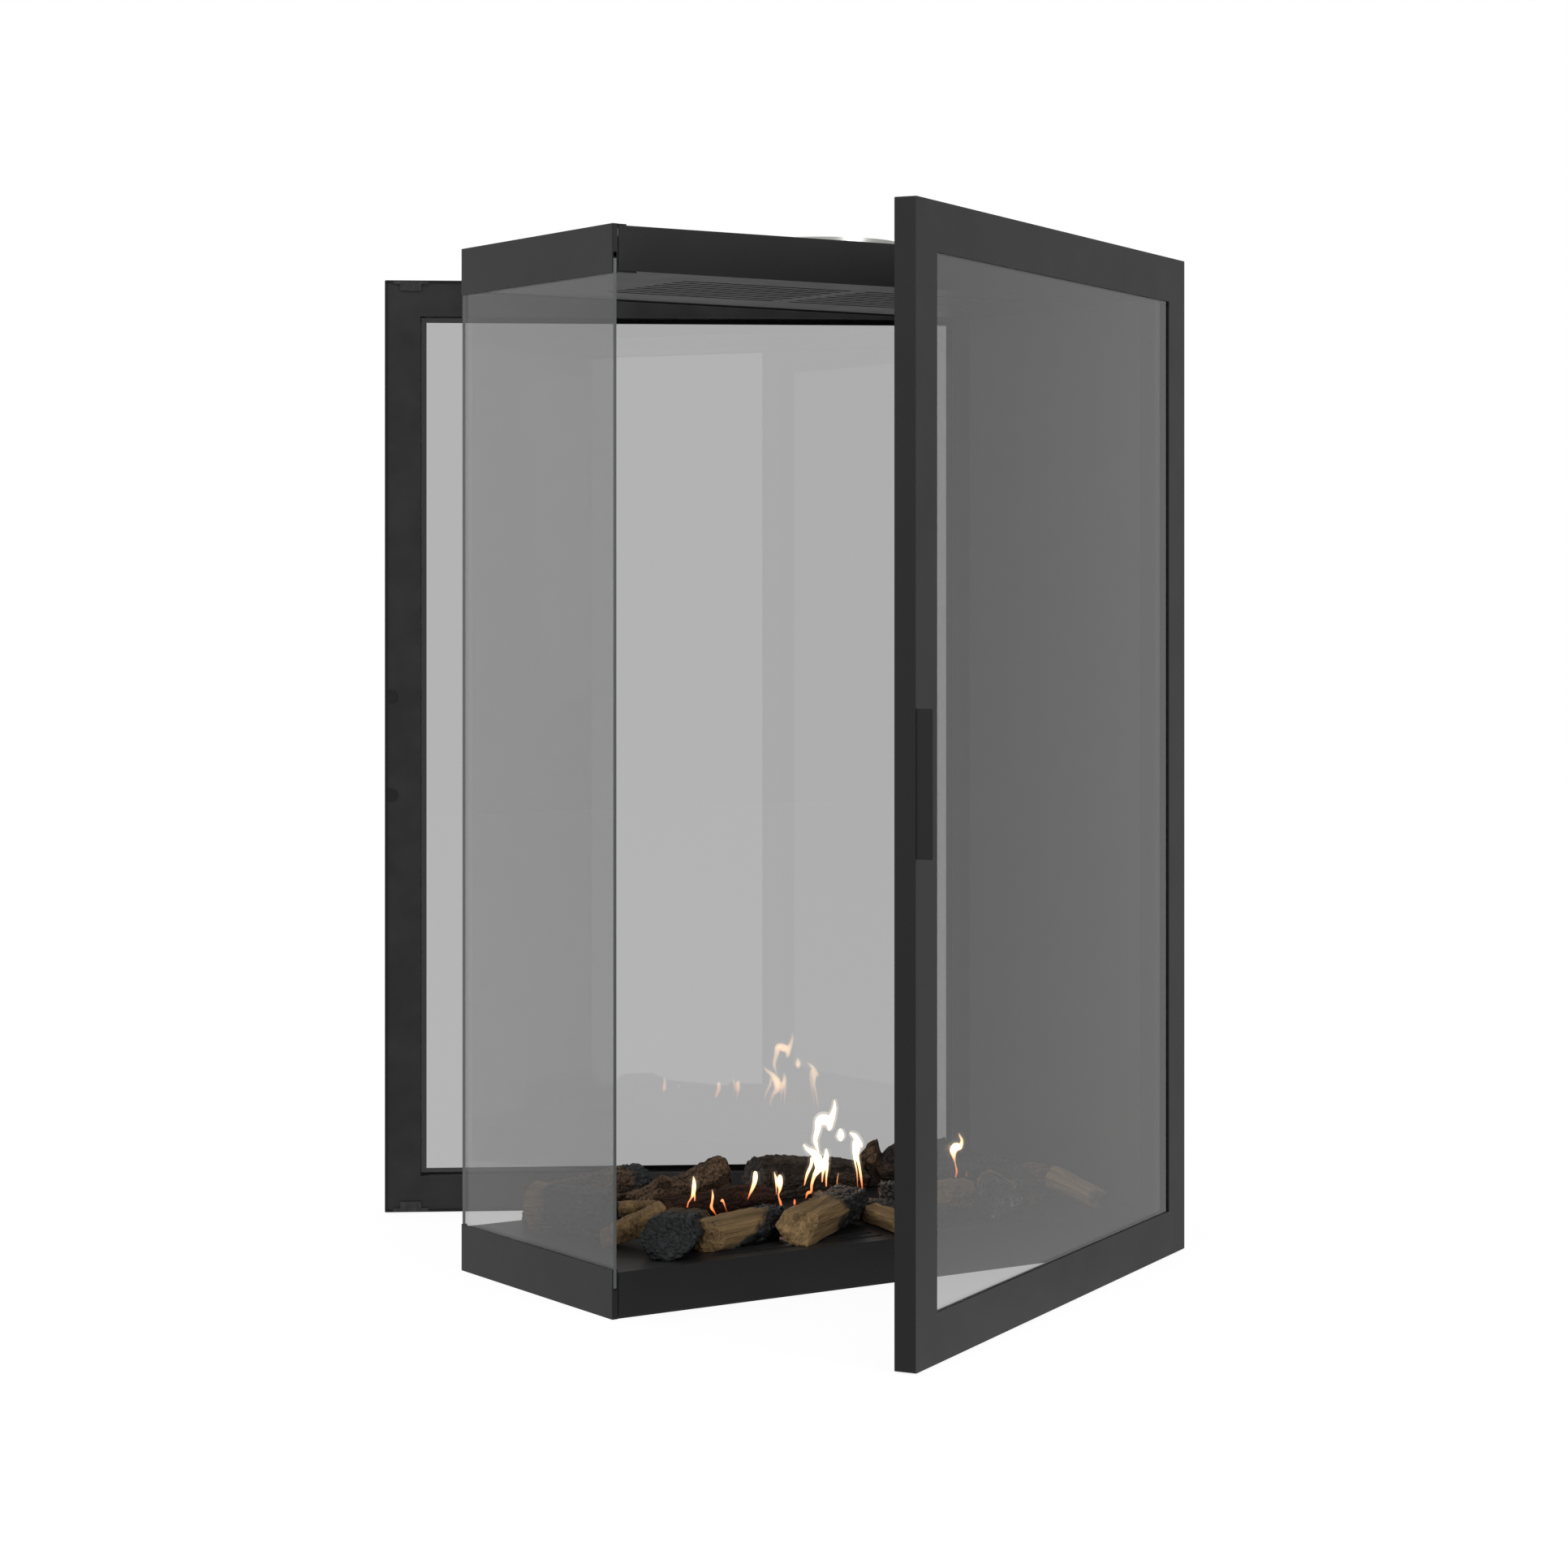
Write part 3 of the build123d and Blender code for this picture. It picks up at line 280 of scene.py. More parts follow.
def tinted_pane(name, passes, bare_edges):
    """Glass that passes one share of the light, with or without frosted edges round a pane across X."""
    material = blank_material(name)
    face_tint = math.sqrt(passes)
    slant = add_node(material, "ShaderNodeLayerWeight", {"Blend": 0.5}).outputs["Facing"]
    rise = add_node(material, "ShaderNodeMath", {0: slant, 1: PANE_RISE}, operation="POWER")
    mirrored = add_node(material, "ShaderNodeMath", {0: rise, 1: 1 - PANE_MIRRORS, 2: PANE_MIRRORS},
                        operation="MULTIPLY_ADD")
    passed = add_node(material, "ShaderNodeBsdfTransparent", {
        "Color": (face_tint, face_tint, face_tint, 1)})
    mirror = add_node(material, "ShaderNodeBsdfAnisotropic", {"Color": (1, 1, 1, 1), "Roughness": 0.0})
    pane = add_node(material, "ShaderNodeMixShader", {0: mirrored, 1: passed, 2: mirror})
    if bare_edges:
        across = add_node(material, "ShaderNodeTexCoord")
        thin_way = add_node(material, "ShaderNodeSeparateXYZ", {0: across.outputs["Normal"]})
        facing = add_node(material, "ShaderNodeMath", {0: thin_way.outputs["X"]}, operation="ABSOLUTE")
        broad = add_node(material, "ShaderNodeMath", {0: facing, 1: 0.5}, operation="GREATER_THAN")
        grind = add_node(material, "ShaderNodeTexNoise", {
            "Vector": across.outputs["Object"], "Scale": 1 / EDGE_GRIND, "Detail": 2.0})
        frost = add_node(material, "ShaderNodeBump", {
            "Height": grind, "Strength": 0.3, "Distance": 0.1 * MM})
        edge = add_node(material, "ShaderNodeBsdfPrincipled", {
            "Base Color": linear(EDGE_COLOUR), "Roughness": 0.35, "Normal": frost})
        pane = add_node(material, "ShaderNodeMixShader", {0: broad, 1: edge, 2: pane})
    add_node(material, "ShaderNodeOutputMaterial", {"Surface": pane})
    return material


dress(tinted_pane("tinted_glass_ceramic", DOOR_PANE_PASSES, False), "front_door_glass", "rear_door_glass")
dress(tinted_pane("tinted_glass_ceramic_end_pane", END_PANE_PASSES, True), "side_glass")


# Ceramic logs.
# Vacuum formed ceramic fibre, each cast in a mould taken from real wood and then sprayed by hand:
# split faces in ochre, bark in umber, and charred stretches in black with ash on their ridges.
# Those at the right end carry painted light, which lifts them out of the shade they lie in.
LOG_VOXEL = 1.3 * MM
SPLIT_LIGHT = "#a2855c"
SPLIT_DARK = "#6c543a"
BARK_LIGHT = "#7d6650"
BARK_DARK = "#33281f"
RUST_LIGHT = "#43281a"
RUST_DARK = "#22140d"
CHAR_LIGHT = "#303436"
CHAR_DARK = "#131415"
ASH_COLOUR = "#9aa0a2"
GRAIN_WIDTH = 1.5 * MM
GRAIN_LENGTH = 60 * MM
BARK_GRIT = 3 * MM
CHAR_CRAZE = 3.5 * MM
PICTURE_RIGHT = np.array([0.8319, -0.5550, 0.0])
hearth_top = max(v.co.z for v in nodes["hearth_plate"].data.vertices)

# Sizes of the carving, in mm.
LUMP = 24
SCORCH_EDGE = 20
ASH_PATCH = 13
TEAR = 4
FIBRE_LENGTH = 40
FIBRE_WIDTH = 5
SPLIT_LENGTH = 90
SPLIT_WIDTH = 12
WARP = 14
CHAR_CELL_LENGTH = 11
CHAR_CELL_WIDTH = 8
BARK_PLATE_LENGTH = 46
BARK_PLATE_WIDTH = 10
CREST_STATIONS = 12
CREST_REACH = 5

# The warp of the char cells and bark plates is taken from a drawn place, which follows the clock
# unless it is seeded. From this seed every run carves the same logs.
NOISE_SEED = 1795601616
noise.seed_set(NOISE_SEED)

painted_log = blank_material("painted_ceramic_fibre")
along = add_node(painted_log, "ShaderNodeAttribute", attribute_name="grain").outputs["Vector"]
charred = add_node(painted_log, "ShaderNodeAttribute", attribute_name="charred").outputs["Fac"]
barked = add_node(painted_log, "ShaderNodeAttribute", attribute_name="barked").outputs["Fac"]
rusted = add_node(painted_log, "ShaderNodeAttribute", attribute_name="rusted").outputs["Fac"]
painted_shade_and_light = add_node(painted_log, "ShaderNodeAttribute", attribute_name="painted_shade_and_light").outputs["Fac"]
ashen = add_node(painted_log, "ShaderNodeAttribute", attribute_name="ashen").outputs["Fac"]
stretch = add_node(painted_log, "ShaderNodeMapping", {
    "Vector": along, "Scale": (1 / GRAIN_LENGTH, 1 / GRAIN_WIDTH, 1 / GRAIN_WIDTH)})
streak = add_node(painted_log, "ShaderNodeTexNoise", {"Vector": stretch, "Scale": 1.0, "Detail": 4.0})
split_tone = add_node(painted_log, "ShaderNodeValToRGB", {"Fac": streak},
                [(0.3, SPLIT_DARK), (0.55, SPLIT_LIGHT)])
grit = add_node(painted_log, "ShaderNodeTexNoise", {"Vector": along, "Scale": 1 / BARK_GRIT, "Detail": 6.0})
bark_tone = add_node(painted_log, "ShaderNodeValToRGB", {"Fac": grit},
                [(0.35, BARK_DARK), (0.62, BARK_LIGHT)])
rust_tone = add_node(painted_log, "ShaderNodeValToRGB", {"Fac": grit},
                [(0.38, RUST_DARK), (0.6, RUST_LIGHT)])
craze = add_node(painted_log, "ShaderNodeTexNoise", {
    "Vector": along, "Scale": 1 / CHAR_CRAZE, "Detail": 7.0})
char_tone = add_node(painted_log, "ShaderNodeValToRGB", {"Fac": craze},
                [(0.38, CHAR_DARK), (0.66, CHAR_LIGHT)])
dusted = add_node(painted_log, "ShaderNodeMath", {0: ashen, 1: craze}, operation="MULTIPLY")
char_tone = add_node(painted_log, "ShaderNodeMix", {
    0: dusted, 6: char_tone, 7: linear(ASH_COLOUR)}, data_type="RGBA")
wood = add_node(painted_log, "ShaderNodeMix", {0: barked, 6: split_tone, 7: bark_tone}, data_type="RGBA")
wood = add_node(painted_log, "ShaderNodeMix", {
    0: rusted, 6: wood.outputs[2], 7: rust_tone}, data_type="RGBA")
paint = add_node(painted_log, "ShaderNodeMix", {
    0: charred, 6: wood.outputs[2], 7: char_tone.outputs[2]}, data_type="RGBA")
# Painted shade and light: the paint is darkened in cracks and grooves, lightened on crests, and lifted on
# the logs at the right end.
paint = add_node(painted_log, "ShaderNodeVectorMath", {
    0: paint.outputs[2], "Scale": painted_shade_and_light}, operation="SCALE")
bumps = add_node(painted_log, "ShaderNodeMix", {0: charred, 2: streak, 3: craze})
rough = add_node(painted_log, "ShaderNodeBump", {"Height": bumps, "Strength": 0.8, "Distance": 0.8 * MM})
gloss = add_node(painted_log, "ShaderNodeMapRange", {"Value": charred, "To Min": 0.9, "To Max": 0.5})
skin = add_node(painted_log, "ShaderNodeBsdfPrincipled", {
    "Base Color": paint, "Roughness": gloss, "Specular IOR Level": 0.35, "Normal": rough})
add_node(painted_log, "ShaderNodeOutputMaterial", {"Surface": skin})


def stretched(spot, length, width):
    """A spot measured in units of one length along the log and one width across it."""
    return Vector((spot.x / length, spot.y / width, spot.z / width))


def crackle(spot):
    """How deep in a crack a spot lies among cells of size 1, how near its rim, and its cell's lift."""
    near, centres = noise.voronoi(spot)
    gap = near[1] - near[0]
    return max(0, 1 - gap / 0.18), max(0, 1 - abs(gap - 0.25) / 0.12), noise.cell(centres[0] * 7)


def sculpt_log(name, char=(2, 2), slant=0.0, burn=1.0, ash=0.6, bark=0.0, rust=0.0, cuts=(), crest=(),
               longer=(0, 0), wider=1.0, carve=1.0, painted_light_factor=1.0, seed=0):
    """Remesh a CAD log, carve its splits, checks and bark, and note how each part is painted.

    char is where the burnt stretch starts and ends, as shares of the log from its left end, and
    slant is how much further along that lies on its top. burn, ash, bark and rust are shares.
    cuts are split faces, each (degrees round the log from its rear side over its top, degrees
    towards its left end, share of the reach kept). crest is its skyline in the picture, a row of
    (mm to the right of its middle, mm over the hearth). longer adds mm to its ends. wider is a
    factor, as are carve, for how deep it is cut, and painted_light_factor, for how light it
    shows: above 1 it lifts the log with painted light.
    """
    source = nodes[name]
    log = bpy.data.objects.new(name + "_sculpted", source.data.copy())
    bpy.context.scene.collection.objects.link(log)
    remesh = log.modifiers.new("voxels", "REMESH")
    remesh.mode = "VOXEL"
    remesh.voxel_size = LOG_VOXEL
    smooth = log.modifiers.new("soften", "SMOOTH")
    smooth.iterations = 3
    mesh = bpy.data.meshes.new_from_object(log.evaluated_get(bpy.context.evaluated_depsgraph_get()))
    log.modifiers.clear()
    log.data = mesh
    points = np.array([v.co for v in mesh.vertices]) / MM
    middle = points.mean(0)
    run = np.linalg.svd(points - middle, full_matrices=False)[2][0]
    run = run if run[0] > 0 else -run
    across = np.cross([0, 0, 1], run)
    across /= np.linalg.norm(across)
    axes = np.array([run, across, np.cross(run, across)])
    local = (points - middle) @ axes.T
    share = (local[:, 0] - local[:, 0].min()) / np.ptp(local[:, 0])
    local[:, 0] += longer[1] * share - longer[0] * (1 - share)
    local[:, 1] *= wider
    for turn, lean, kept in cuts:
        turn, lean = math.radians(turn), math.radians(lean)
        way = np.array([-math.sin(lean), math.cos(lean) * math.cos(turn), math.cos(lean) * math.sin(turn)])
        reach = local @ way
        local -= np.outer(np.maximum(reach - kept * reach.max(), 0), way)
    mesh.vertices.foreach_set("co", ((middle + local @ axes) * MM).ravel())
    mesh.update()
    facing = np.array([v.normal for v in mesh.vertices])
    endwise = np.abs(facing @ run)
    height = local[:, 2] / np.abs(local[:, 2]).max()
    offset = Vector((seed * 7.3, seed * 3.1, seed * 5.7))
    charred_at, ashen_at, painted_shade_and_light_at, rise_at = (np.zeros(len(points)) for _ in range(4))
    for index in range(len(points)):
        spot = Vector(local[index])
        place = share[index] - slant * height[index] + 0.12 * noise.noise(spot / SCORCH_EDGE + offset)
        burnt = burn * min(max(min(place - char[0], char[1] - place) / 0.1, 0.0), 1.0)
        lumps = 1.4 * noise.noise(spot / LUMP + offset)
        fibre = noise.noise(stretched(spot, FIBRE_LENGTH, FIBRE_WIDTH) + offset)
        splits = noise.noise(stretched(spot, SPLIT_LENGTH, SPLIT_WIDTH) + offset) * 3
        steps = (math.floor(splits) + min((splits - math.floor(splits)) * 4, 1)) / 3
        warp = noise.noise_vector(spot / WARP + offset) * 0.5
        cells = stretched(spot, CHAR_CELL_LENGTH, CHAR_CELL_WIDTH)
        crack, rim, cell = crackle(cells + warp + offset)
        plates = stretched(spot, BARK_PLATE_LENGTH, BARK_PLATE_WIDTH)
        rent, lip, plate = crackle(plates + warp * 0.6 + offset)
        torn = noise.noise(spot / TEAR + offset) * (0.4 + 1.6 * endwise[index])
        split_rise = 0.6 * fibre + 1.8 * steps + torn
        bark_rise = 1.8 * plate - 2.0 * rent + 0.5 * lip + 0.6 * torn
        char_rise = 1.2 * cell - 1.4 * crack + 0.7 * rim + 0.5 * torn
        wooden = split_rise * (1 - bark) + bark_rise * bark
        fine = wooden * (1 - burnt) + (0.5 * wooden + char_rise) * burnt
        rise_at[index] = (lumps + fine) * carve
        charred_at[index] = burnt
        ashen_at[index] = ash * rim * min(max(2 * noise.noise(spot / ASH_PATCH + offset), 0), 1)
        # Painted shade in cracks and grooves and painted light on crests, scaled by the log's painted light
        # factor.
        painted_shade_and_light_at[index] = painted_light_factor * (0.3 + 0.95 * min(max(0.5 + fine / 4, 0.0), 1.0))
    solid = middle + local @ axes + facing * rise_at[:, None]
    hearth = hearth_top / MM
    solid[:, 2] = np.maximum(solid[:, 2], hearth)
    if crest:
        aside = (solid - middle) @ PICTURE_RIGHT
        stations = np.linspace(aside.min() + CREST_REACH, aside.max() - CREST_REACH, CREST_STATIONS)
        tops = [solid[np.abs(aside - s) < CREST_REACH, 2].max() - hearth for s in stations]
        wanted = np.interp(aside, [c[0] for c in crest], [c[1] for c in crest])
        solid[:, 2] = hearth + (solid[:, 2] - hearth) * wanted / np.interp(aside, stations, tops)
    mesh.vertices.foreach_set("co", (solid * MM).ravel())
    constant = np.ones(len(points))
    for label, kind, values in (("grain", "FLOAT_VECTOR", local * MM), ("charred", "FLOAT", charred_at),
                                ("barked", "FLOAT", constant * bark), ("rusted", "FLOAT", constant * rust),
                                ("ashen", "FLOAT", ashen_at), ("painted_shade_and_light", "FLOAT", painted_shade_and_light_at)):
        attribute = mesh.attributes.new(label, kind, "POINT")
        field = "vector" if kind == "FLOAT_VECTOR" else "value"
        attribute.data.foreach_set(field, values.ravel().astype(np.float32))
    mesh.materials.clear()
    mesh.materials.append(painted_log)
    mesh.shade_smooth()
    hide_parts(name)
    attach(log, "root")


sculpt_log("rear_charred_log", char=(-1, 2), burn=0.65, ash=0.4, bark=1, longer=(5, 0), seed=1,
           cuts=((60, 0, 0.8), (135, 0, 0.8)),
           crest=((-75, 40), (-71, 46), (-67, 50), (-62, 54), (-57, 52), (-47, 54), (-33, 53),
                  (-19, 51), (-1, 47), (33, 43), (49, 39), (61, 35), (75, 30)))
sculpt_log("rear_left_log", char=(0.78, 2), bark=1, cuts=((110, 0, 0.8),), seed=2,
           crest=((-80, 46), (-30, 50), (0, 55), (40, 62), (54, 61), (68, 58), (74, 53), (80, 45)))
sculpt_log("rear_bark_log", bark=1, cuts=((150, 0, 0.75),), longer=(4, 12), seed=3,
           crest=((-58, 36), (-52, 39), (-28, 46), (-15, 54), (-2, 49), (15, 53), (25, 58), (31, 61),
                  (35, 60), (41, 64), (55, 65), (61, 63), (66, 56), (70, 42)))
sculpt_log("rear_right_log", char=(0.12, 2), burn=0.8, ash=0.3, bark=1, rust=0.3, longer=(18, 0), seed=4,
           cuts=((150, 0, 0.75),),
           crest=((-72, 38), (-67, 40), (-61, 45), (-53, 56), (-45, 60), (-41, 62), (-39, 56), (-38, 50),
                  (-35, 42), (-32, 45), (-26, 51), (0, 56), (60, 52)))
sculpt_log("corner_log", char=(-1, 2), cuts=((100, 0, 0.75), (20, 0, 0.8)), seed=5)
sculpt_log("middle_log", bark=1, rust=1, cuts=((120, 0, 0.75), (180, 0, 0.85)), seed=6,
           crest=((-60, 34), (-3, 37), (11, 38), (26, 40), (49, 39), (62, 35)))
sculpt_log("centre_log", char=(-1, 2), burn=0.8, bark=1, rust=0.6, cuts=((80, 0, 0.8),), seed=7)
sculpt_log("left_charred_log", char=(0.13, 2), cuts=((100, 0, 0.8), (160, 0, 0.8)), seed=8)
sculpt_log("front_left_log", char=(-1, 0.8), ash=0.12, rust=0.7, wider=1.35, painted_light_factor=0.72, seed=9,
           cuts=((88, 0, 0.65), (85, 42, 0.5), (200, 10, 0.85)))
sculpt_log("split_sticks", carve=0.5, cuts=((90, 0, 0.85),), seed=10)
sculpt_log("front_split_log", char=(0.5, 2), slant=0.32, longer=(4, 2), seed=11,
           cuts=((90, 0, 0.8), (150, 0, 0.7), (180, 55, 0.85)))
sculpt_log("front_cross_log", char=(0.52, 2), slant=0.05, wider=1.12, seed=12,
           cuts=((95, 0, 0.7), (110, 50, 0.8), (200, 0, 0.8)))
sculpt_log("front_right_log", char=(2, 2), cuts=((80, 0, 0.75),), seed=13)
# These logs at the right end are lifted with painted light by their painted light factor; this one's heavy
# ash is partly painted light too.
sculpt_log("right_charred_log", char=(-1, 0.86), ash=1.6, painted_light_factor=1.5, cuts=((120, 0, 0.75),), seed=14)
sculpt_log("right_split_logs", char=(-1, 0.5), cuts=((160, 0, 0.8),), painted_light_factor=1.2, seed=15)
sculpt_log("right_inner_log", char=(-1, 0.25), bark=1, rust=0.4, cuts=((110, 0, 0.8),), painted_light_factor=1.7, seed=16)
sculpt_log("end_split_log", char=(0.9, 2), cuts=((70, 0, 0.7), (150, 0, 0.8)), painted_light_factor=1.6, seed=17)


# Flames.
# Burning gas over the deck's port rows. Its glowing soot is thin, red and orange near the foot,
# and deep, yellow and white in the heads, so each flame is a skin filled with light. A thin
# halo of painted glow lies round each, brighter round the heads.
FLAME_FOOT_COLOUR = "#ff6a24"
FLAME_HEAD_COLOUR = "#ffcf96"
FLAME_FOOT_LIGHT = 780.0  # per metre of depth
FLAME_HEAD_LIGHT = 1500.0
FLAME_FOOT = 20 * MM  # over the hearth
FLAME_HEAD = 60 * MM
FLAME_CAST = 0.2  # share of its light that falls on what is round it
FLAME_DEPTH = 0.6  # of its width
FLAME_SLIMNESS = 0.85
FLAME_SIDES = 12
FLAME_STEPS = 5
FLAME_VOXEL = 0.45 * MM
# The halo of painted glow round each flame, faint at its foot and brightest round its head.
PAINTED_HALO_COLOUR = "#ffecd4"
PAINTED_HALO_REACH = 3.2
PAINTED_HALO_LIGHT = 34.0
PAINTED_HALO_FOOT = 42 * MM
PAINTED_HALO_HEAD = 90 * MM

burning_gas = blank_material("burning_gas")
spot = add_node(burning_gas, "ShaderNodeSeparateXYZ", {
    0: add_node(burning_gas, "ShaderNodeTexCoord").outputs["Object"]})
climb = add_node(burning_gas, "ShaderNodeMapRange", {
    "Value": spot.outputs["Z"], "From Min": hearth_top + FLAME_FOOT, "From Max": hearth_top + FLAME_HEAD})
heat = add_node(burning_gas, "ShaderNodeValToRGB", {"Fac": climb},
                [(0, FLAME_FOOT_COLOUR), (1, FLAME_HEAD_COLOUR)])
light = add_node(burning_gas, "ShaderNodeMapRange", {
    "Value": climb, "To Min": FLAME_FOOT_LIGHT, "To Max": FLAME_HEAD_LIGHT})
rays = add_node(burning_gas, "ShaderNodeLightPath")
share = add_node(burning_gas, "ShaderNodeMapRange", {
    "Value": rays.outputs["Is Diffuse Ray"], "To Min": 1.0, "To Max": FLAME_CAST})
light = add_node(burning_gas, "ShaderNodeMath", {0: light, 1: share}, operation="MULTIPLY")
glow = add_node(burning_gas, "ShaderNodeEmission", {"Color": heat, "Strength": light})
add_node(burning_gas, "ShaderNodeOutputMaterial", {"Volume": glow})

# A halo of painted glow round each flame.
painted_halo = blank_material("flame_mantle")
spot = add_node(painted_halo, "ShaderNodeSeparateXYZ", {
    0: add_node(painted_halo, "ShaderNodeTexCoord").outputs["Object"]})
light = add_node(painted_halo, "ShaderNodeMapRange", {
    "Value": spot.outputs["Z"], "From Min": hearth_top + PAINTED_HALO_FOOT, "From Max": hearth_top + PAINTED_HALO_HEAD,
    "To Min": 0.0, "To Max": PAINTED_HALO_LIGHT})
glow = add_node(painted_halo, "ShaderNodeEmission", {"Color": linear(PAINTED_HALO_COLOUR), "Strength": light})
add_node(painted_halo, "ShaderNodeOutputMaterial", {"Volume": glow})


def sweep_tongues(name, row, tongues, material, slimness, spread):
    """Sweep tongues of flame up from a port row and melt them into one closed skin."""
    shape = bmesh.new()
    for tongue in tongues:
        knots = [Vector(knot) for knot in tongue]
        knots = [knots[0]] + knots + [knots[-1]]
        path = []
        for before, start, end, after in zip(knots, knots[1:], knots[2:], knots[3:]):
            for step in range(FLAME_STEPS):
                t = step / FLAME_STEPS
                path.append((2 * start + (end - before) * t
                             + (2 * before - 5 * start + 4 * end - after) * t ** 2
                             + (3 * start - before - 3 * end + after) * t ** 3) / 2)
        path.append(knots[-1])
        rings = []
        for index, spot in enumerate(path):
            ahead = path[min(index + 1, len(path) - 1)] - path[max(index - 1, 0)]
            side = Vector((ahead.y, -ahead.x)).normalized()
            half = max(spot.z * slimness, 0.4) + spread
            ring = []
            for corner in range(FLAME_SIDES):
                turn = math.tau * corner / FLAME_SIDES
                reach = half * math.cos(turn)
                ring.append(shape.verts.new(Vector((
                    spot.x + side.x * reach, row + FLAME_DEPTH * half * math.sin(turn),
                    hearth_top / MM + spot.y + side.y * reach)) * MM))
            rings.append(ring)
        for near, far in zip(rings, rings[1:]):
            for corner in range(FLAME_SIDES):
                shape.faces.new((near[corner - 1], near[corner], far[corner], far[corner - 1]))
        shape.faces.new(rings[0])
        shape.faces.new(rings[-1])
    bmesh.ops.recalc_face_normals(shape, faces=shape.faces)
    flame = bpy.data.objects.new(name, bpy.data.meshes.new(name))
    shape.to_mesh(flame.data)
    shape.free()
    bpy.context.scene.collection.objects.link(flame)
    remesh = flame.modifiers.new("melt", "REMESH")
    remesh.mode = "VOXEL"
    remesh.voxel_size = FLAME_VOXEL
    smooth = flame.modifiers.new("soften", "SMOOTH")
    smooth.iterations = 3
    mesh = bpy.data.meshes.new_from_object(flame.evaluated_get(bpy.context.evaluated_depsgraph_get()))
    flame.modifiers.clear()
    flame.data = mesh
    mesh.materials.append(material)
    mesh.shade_smooth()
    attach(flame, "root")


def add_flame(name, row, *tongues):
    """Add a flame and the halo of painted glow round it.

    Each tongue is a row of (place along X, height over the hearth, half width) in mm.
    """
    sweep_tongues(name, row, tongues, burning_gas, FLAME_SLIMNESS, 0)
    # The halo of painted glow round it.
    sweep_tongues(name + "_mantle", row, tongues, painted_halo, 1, PAINTED_HALO_REACH)


REAR_ROW = 15.0
FRONT_ROW = -15.0
add_flame("flame_left", REAR_ROW,
          [(-186, 22, 1.1), (-184, 30, 1.3), (-180, 35, 1.6), (-177, 41, 3.2), (-176, 48, 3.4),
           (-176, 55, 2.4), (-177, 61, 0.5)],
          [(-175, 31, 1.0), (-175, 36, 1.6), (-176, 41, 2.3), (-176, 48, 1.9)])
add_flame("flame_second", FRONT_ROW,
          [(-163, 16, 0.6), (-167, 22, 1.3), (-171, 28, 2.4), (-170, 34, 1.9), (-169, 41, 1.9),
           (-170, 49, 0.5)])
add_flame("flame_hook", FRONT_ROW,
          [(-149, 20, 0.6), (-152, 27, 1.0), (-154, 32, 1.5), (-156, 35, 1.8), (-158, 33, 1.0)])
add_flame("flame_round", REAR_ROW,
          [(-101, 26, 0.7), (-98, 32, 1.6), (-94, 39, 2.9), (-91, 46, 3.6), (-90, 52, 3.9), (-90, 57, 2.9),
           (-90, 59, 0.7)])
add_flame("flame_horned", FRONT_ROW,
          [(-73, 18, 1.5), (-74, 24, 2.0), (-77, 33, 1.3), (-75, 40, 2.6), (-75, 47, 4.6), (-75, 54, 3.9),
           (-76, 57, 1.6)],
          [(-80, 34, 0.7), (-80, 43, 1.3), (-80, 51, 2.3), (-82, 58, 1.3), (-83, 62, 0.5)])
add_flame("flame_small", FRONT_ROW, [(-54, 19, 1.0), (-54, 22, 2.0), (-54, 25, 1.5), (-54, 27, 0.5)])
add_flame("flame_cluster", REAR_ROW,
          [(-18, 19, 0.8), (-15, 26, 2.3), (-10, 27, 2.0), (-9, 36, 2.3), (-5, 46, 3.3), (1, 54, 6.0),
           (0, 64, 7.3), (-7, 73, 4.6), (-16, 79, 2.6), (-21, 85, 0.8)],
          [(-20, 35, 1.0), (-16, 48, 2.3), (-10, 59, 2.6), (-9, 68, 2.3)],
          [(6, 37, 1.3), (7, 47, 2.0), (9, 58, 5.0), (12, 66, 4.3), (12, 74, 2.0), (12, 77, 0.7)],
          [(12, 31, 1.3), (12, 41, 1.7), (13, 51, 2.3), (14, 60, 2.3)])
add_flame("flame_tall", REAR_ROW,
          [(1, 72, 0.8), (-2, 81, 2.3), (-4, 89, 3.3), (-1, 99, 4.0), (2, 111, 6.0), (9, 112, 7.0),
           (17, 110, 6.0), (21, 116, 4.3), (24, 125, 2.7), (24, 135, 0.5)],
          [(17, 111, 6.0), (17, 103, 4.3), (16, 98, 1.3)])
add_flame("flame_red", REAR_ROW, [(109, 14, 0.9), (108, 18, 1.5), (107, 22, 1.1), (107, 26, 0.4)])
add_flame("flame_drop", REAR_ROW, [(33, 84, 1.7), (33, 89, 5.0), (33, 94, 4.3), (32, 99, 1.3)])
add_flame("flame_bent", REAR_ROW,
          [(65, 23, 1.0), (63, 38, 2.0), (60, 53, 2.3), (57, 65, 3.3), (58, 79, 5.0), (55, 87, 3.7),
           (50, 91, 2.0), (46, 93, 0.7)],
          [(58, 82, 4.3), (62, 78, 3.3), (65, 74, 1.0)],
          [(58, 26, 0.7), (57, 44, 1.3), (54, 58, 1.7), (52, 72, 2.0), (54, 82, 3.3)])
add_flame("flame_thin", REAR_ROW, [(28, 30, 0.8), (28, 37, 1.0), (30, 46, 0.7)])
add_flame("flame_right", REAR_ROW,
          [(205, 24, 1.3), (207, 32, 2.1), (205, 41, 1.5), (203, 49, 2.7), (202, 58, 6.5), (206, 62, 6.9),
           (212, 62, 4.6), (215, 69, 2.7), (212, 75, 1.7), (210, 79, 0.6)])
add_flame("flame_right_small", REAR_ROW, [(222, 24, 1.3), (222, 28, 1.0), (222, 33, 0.4)])


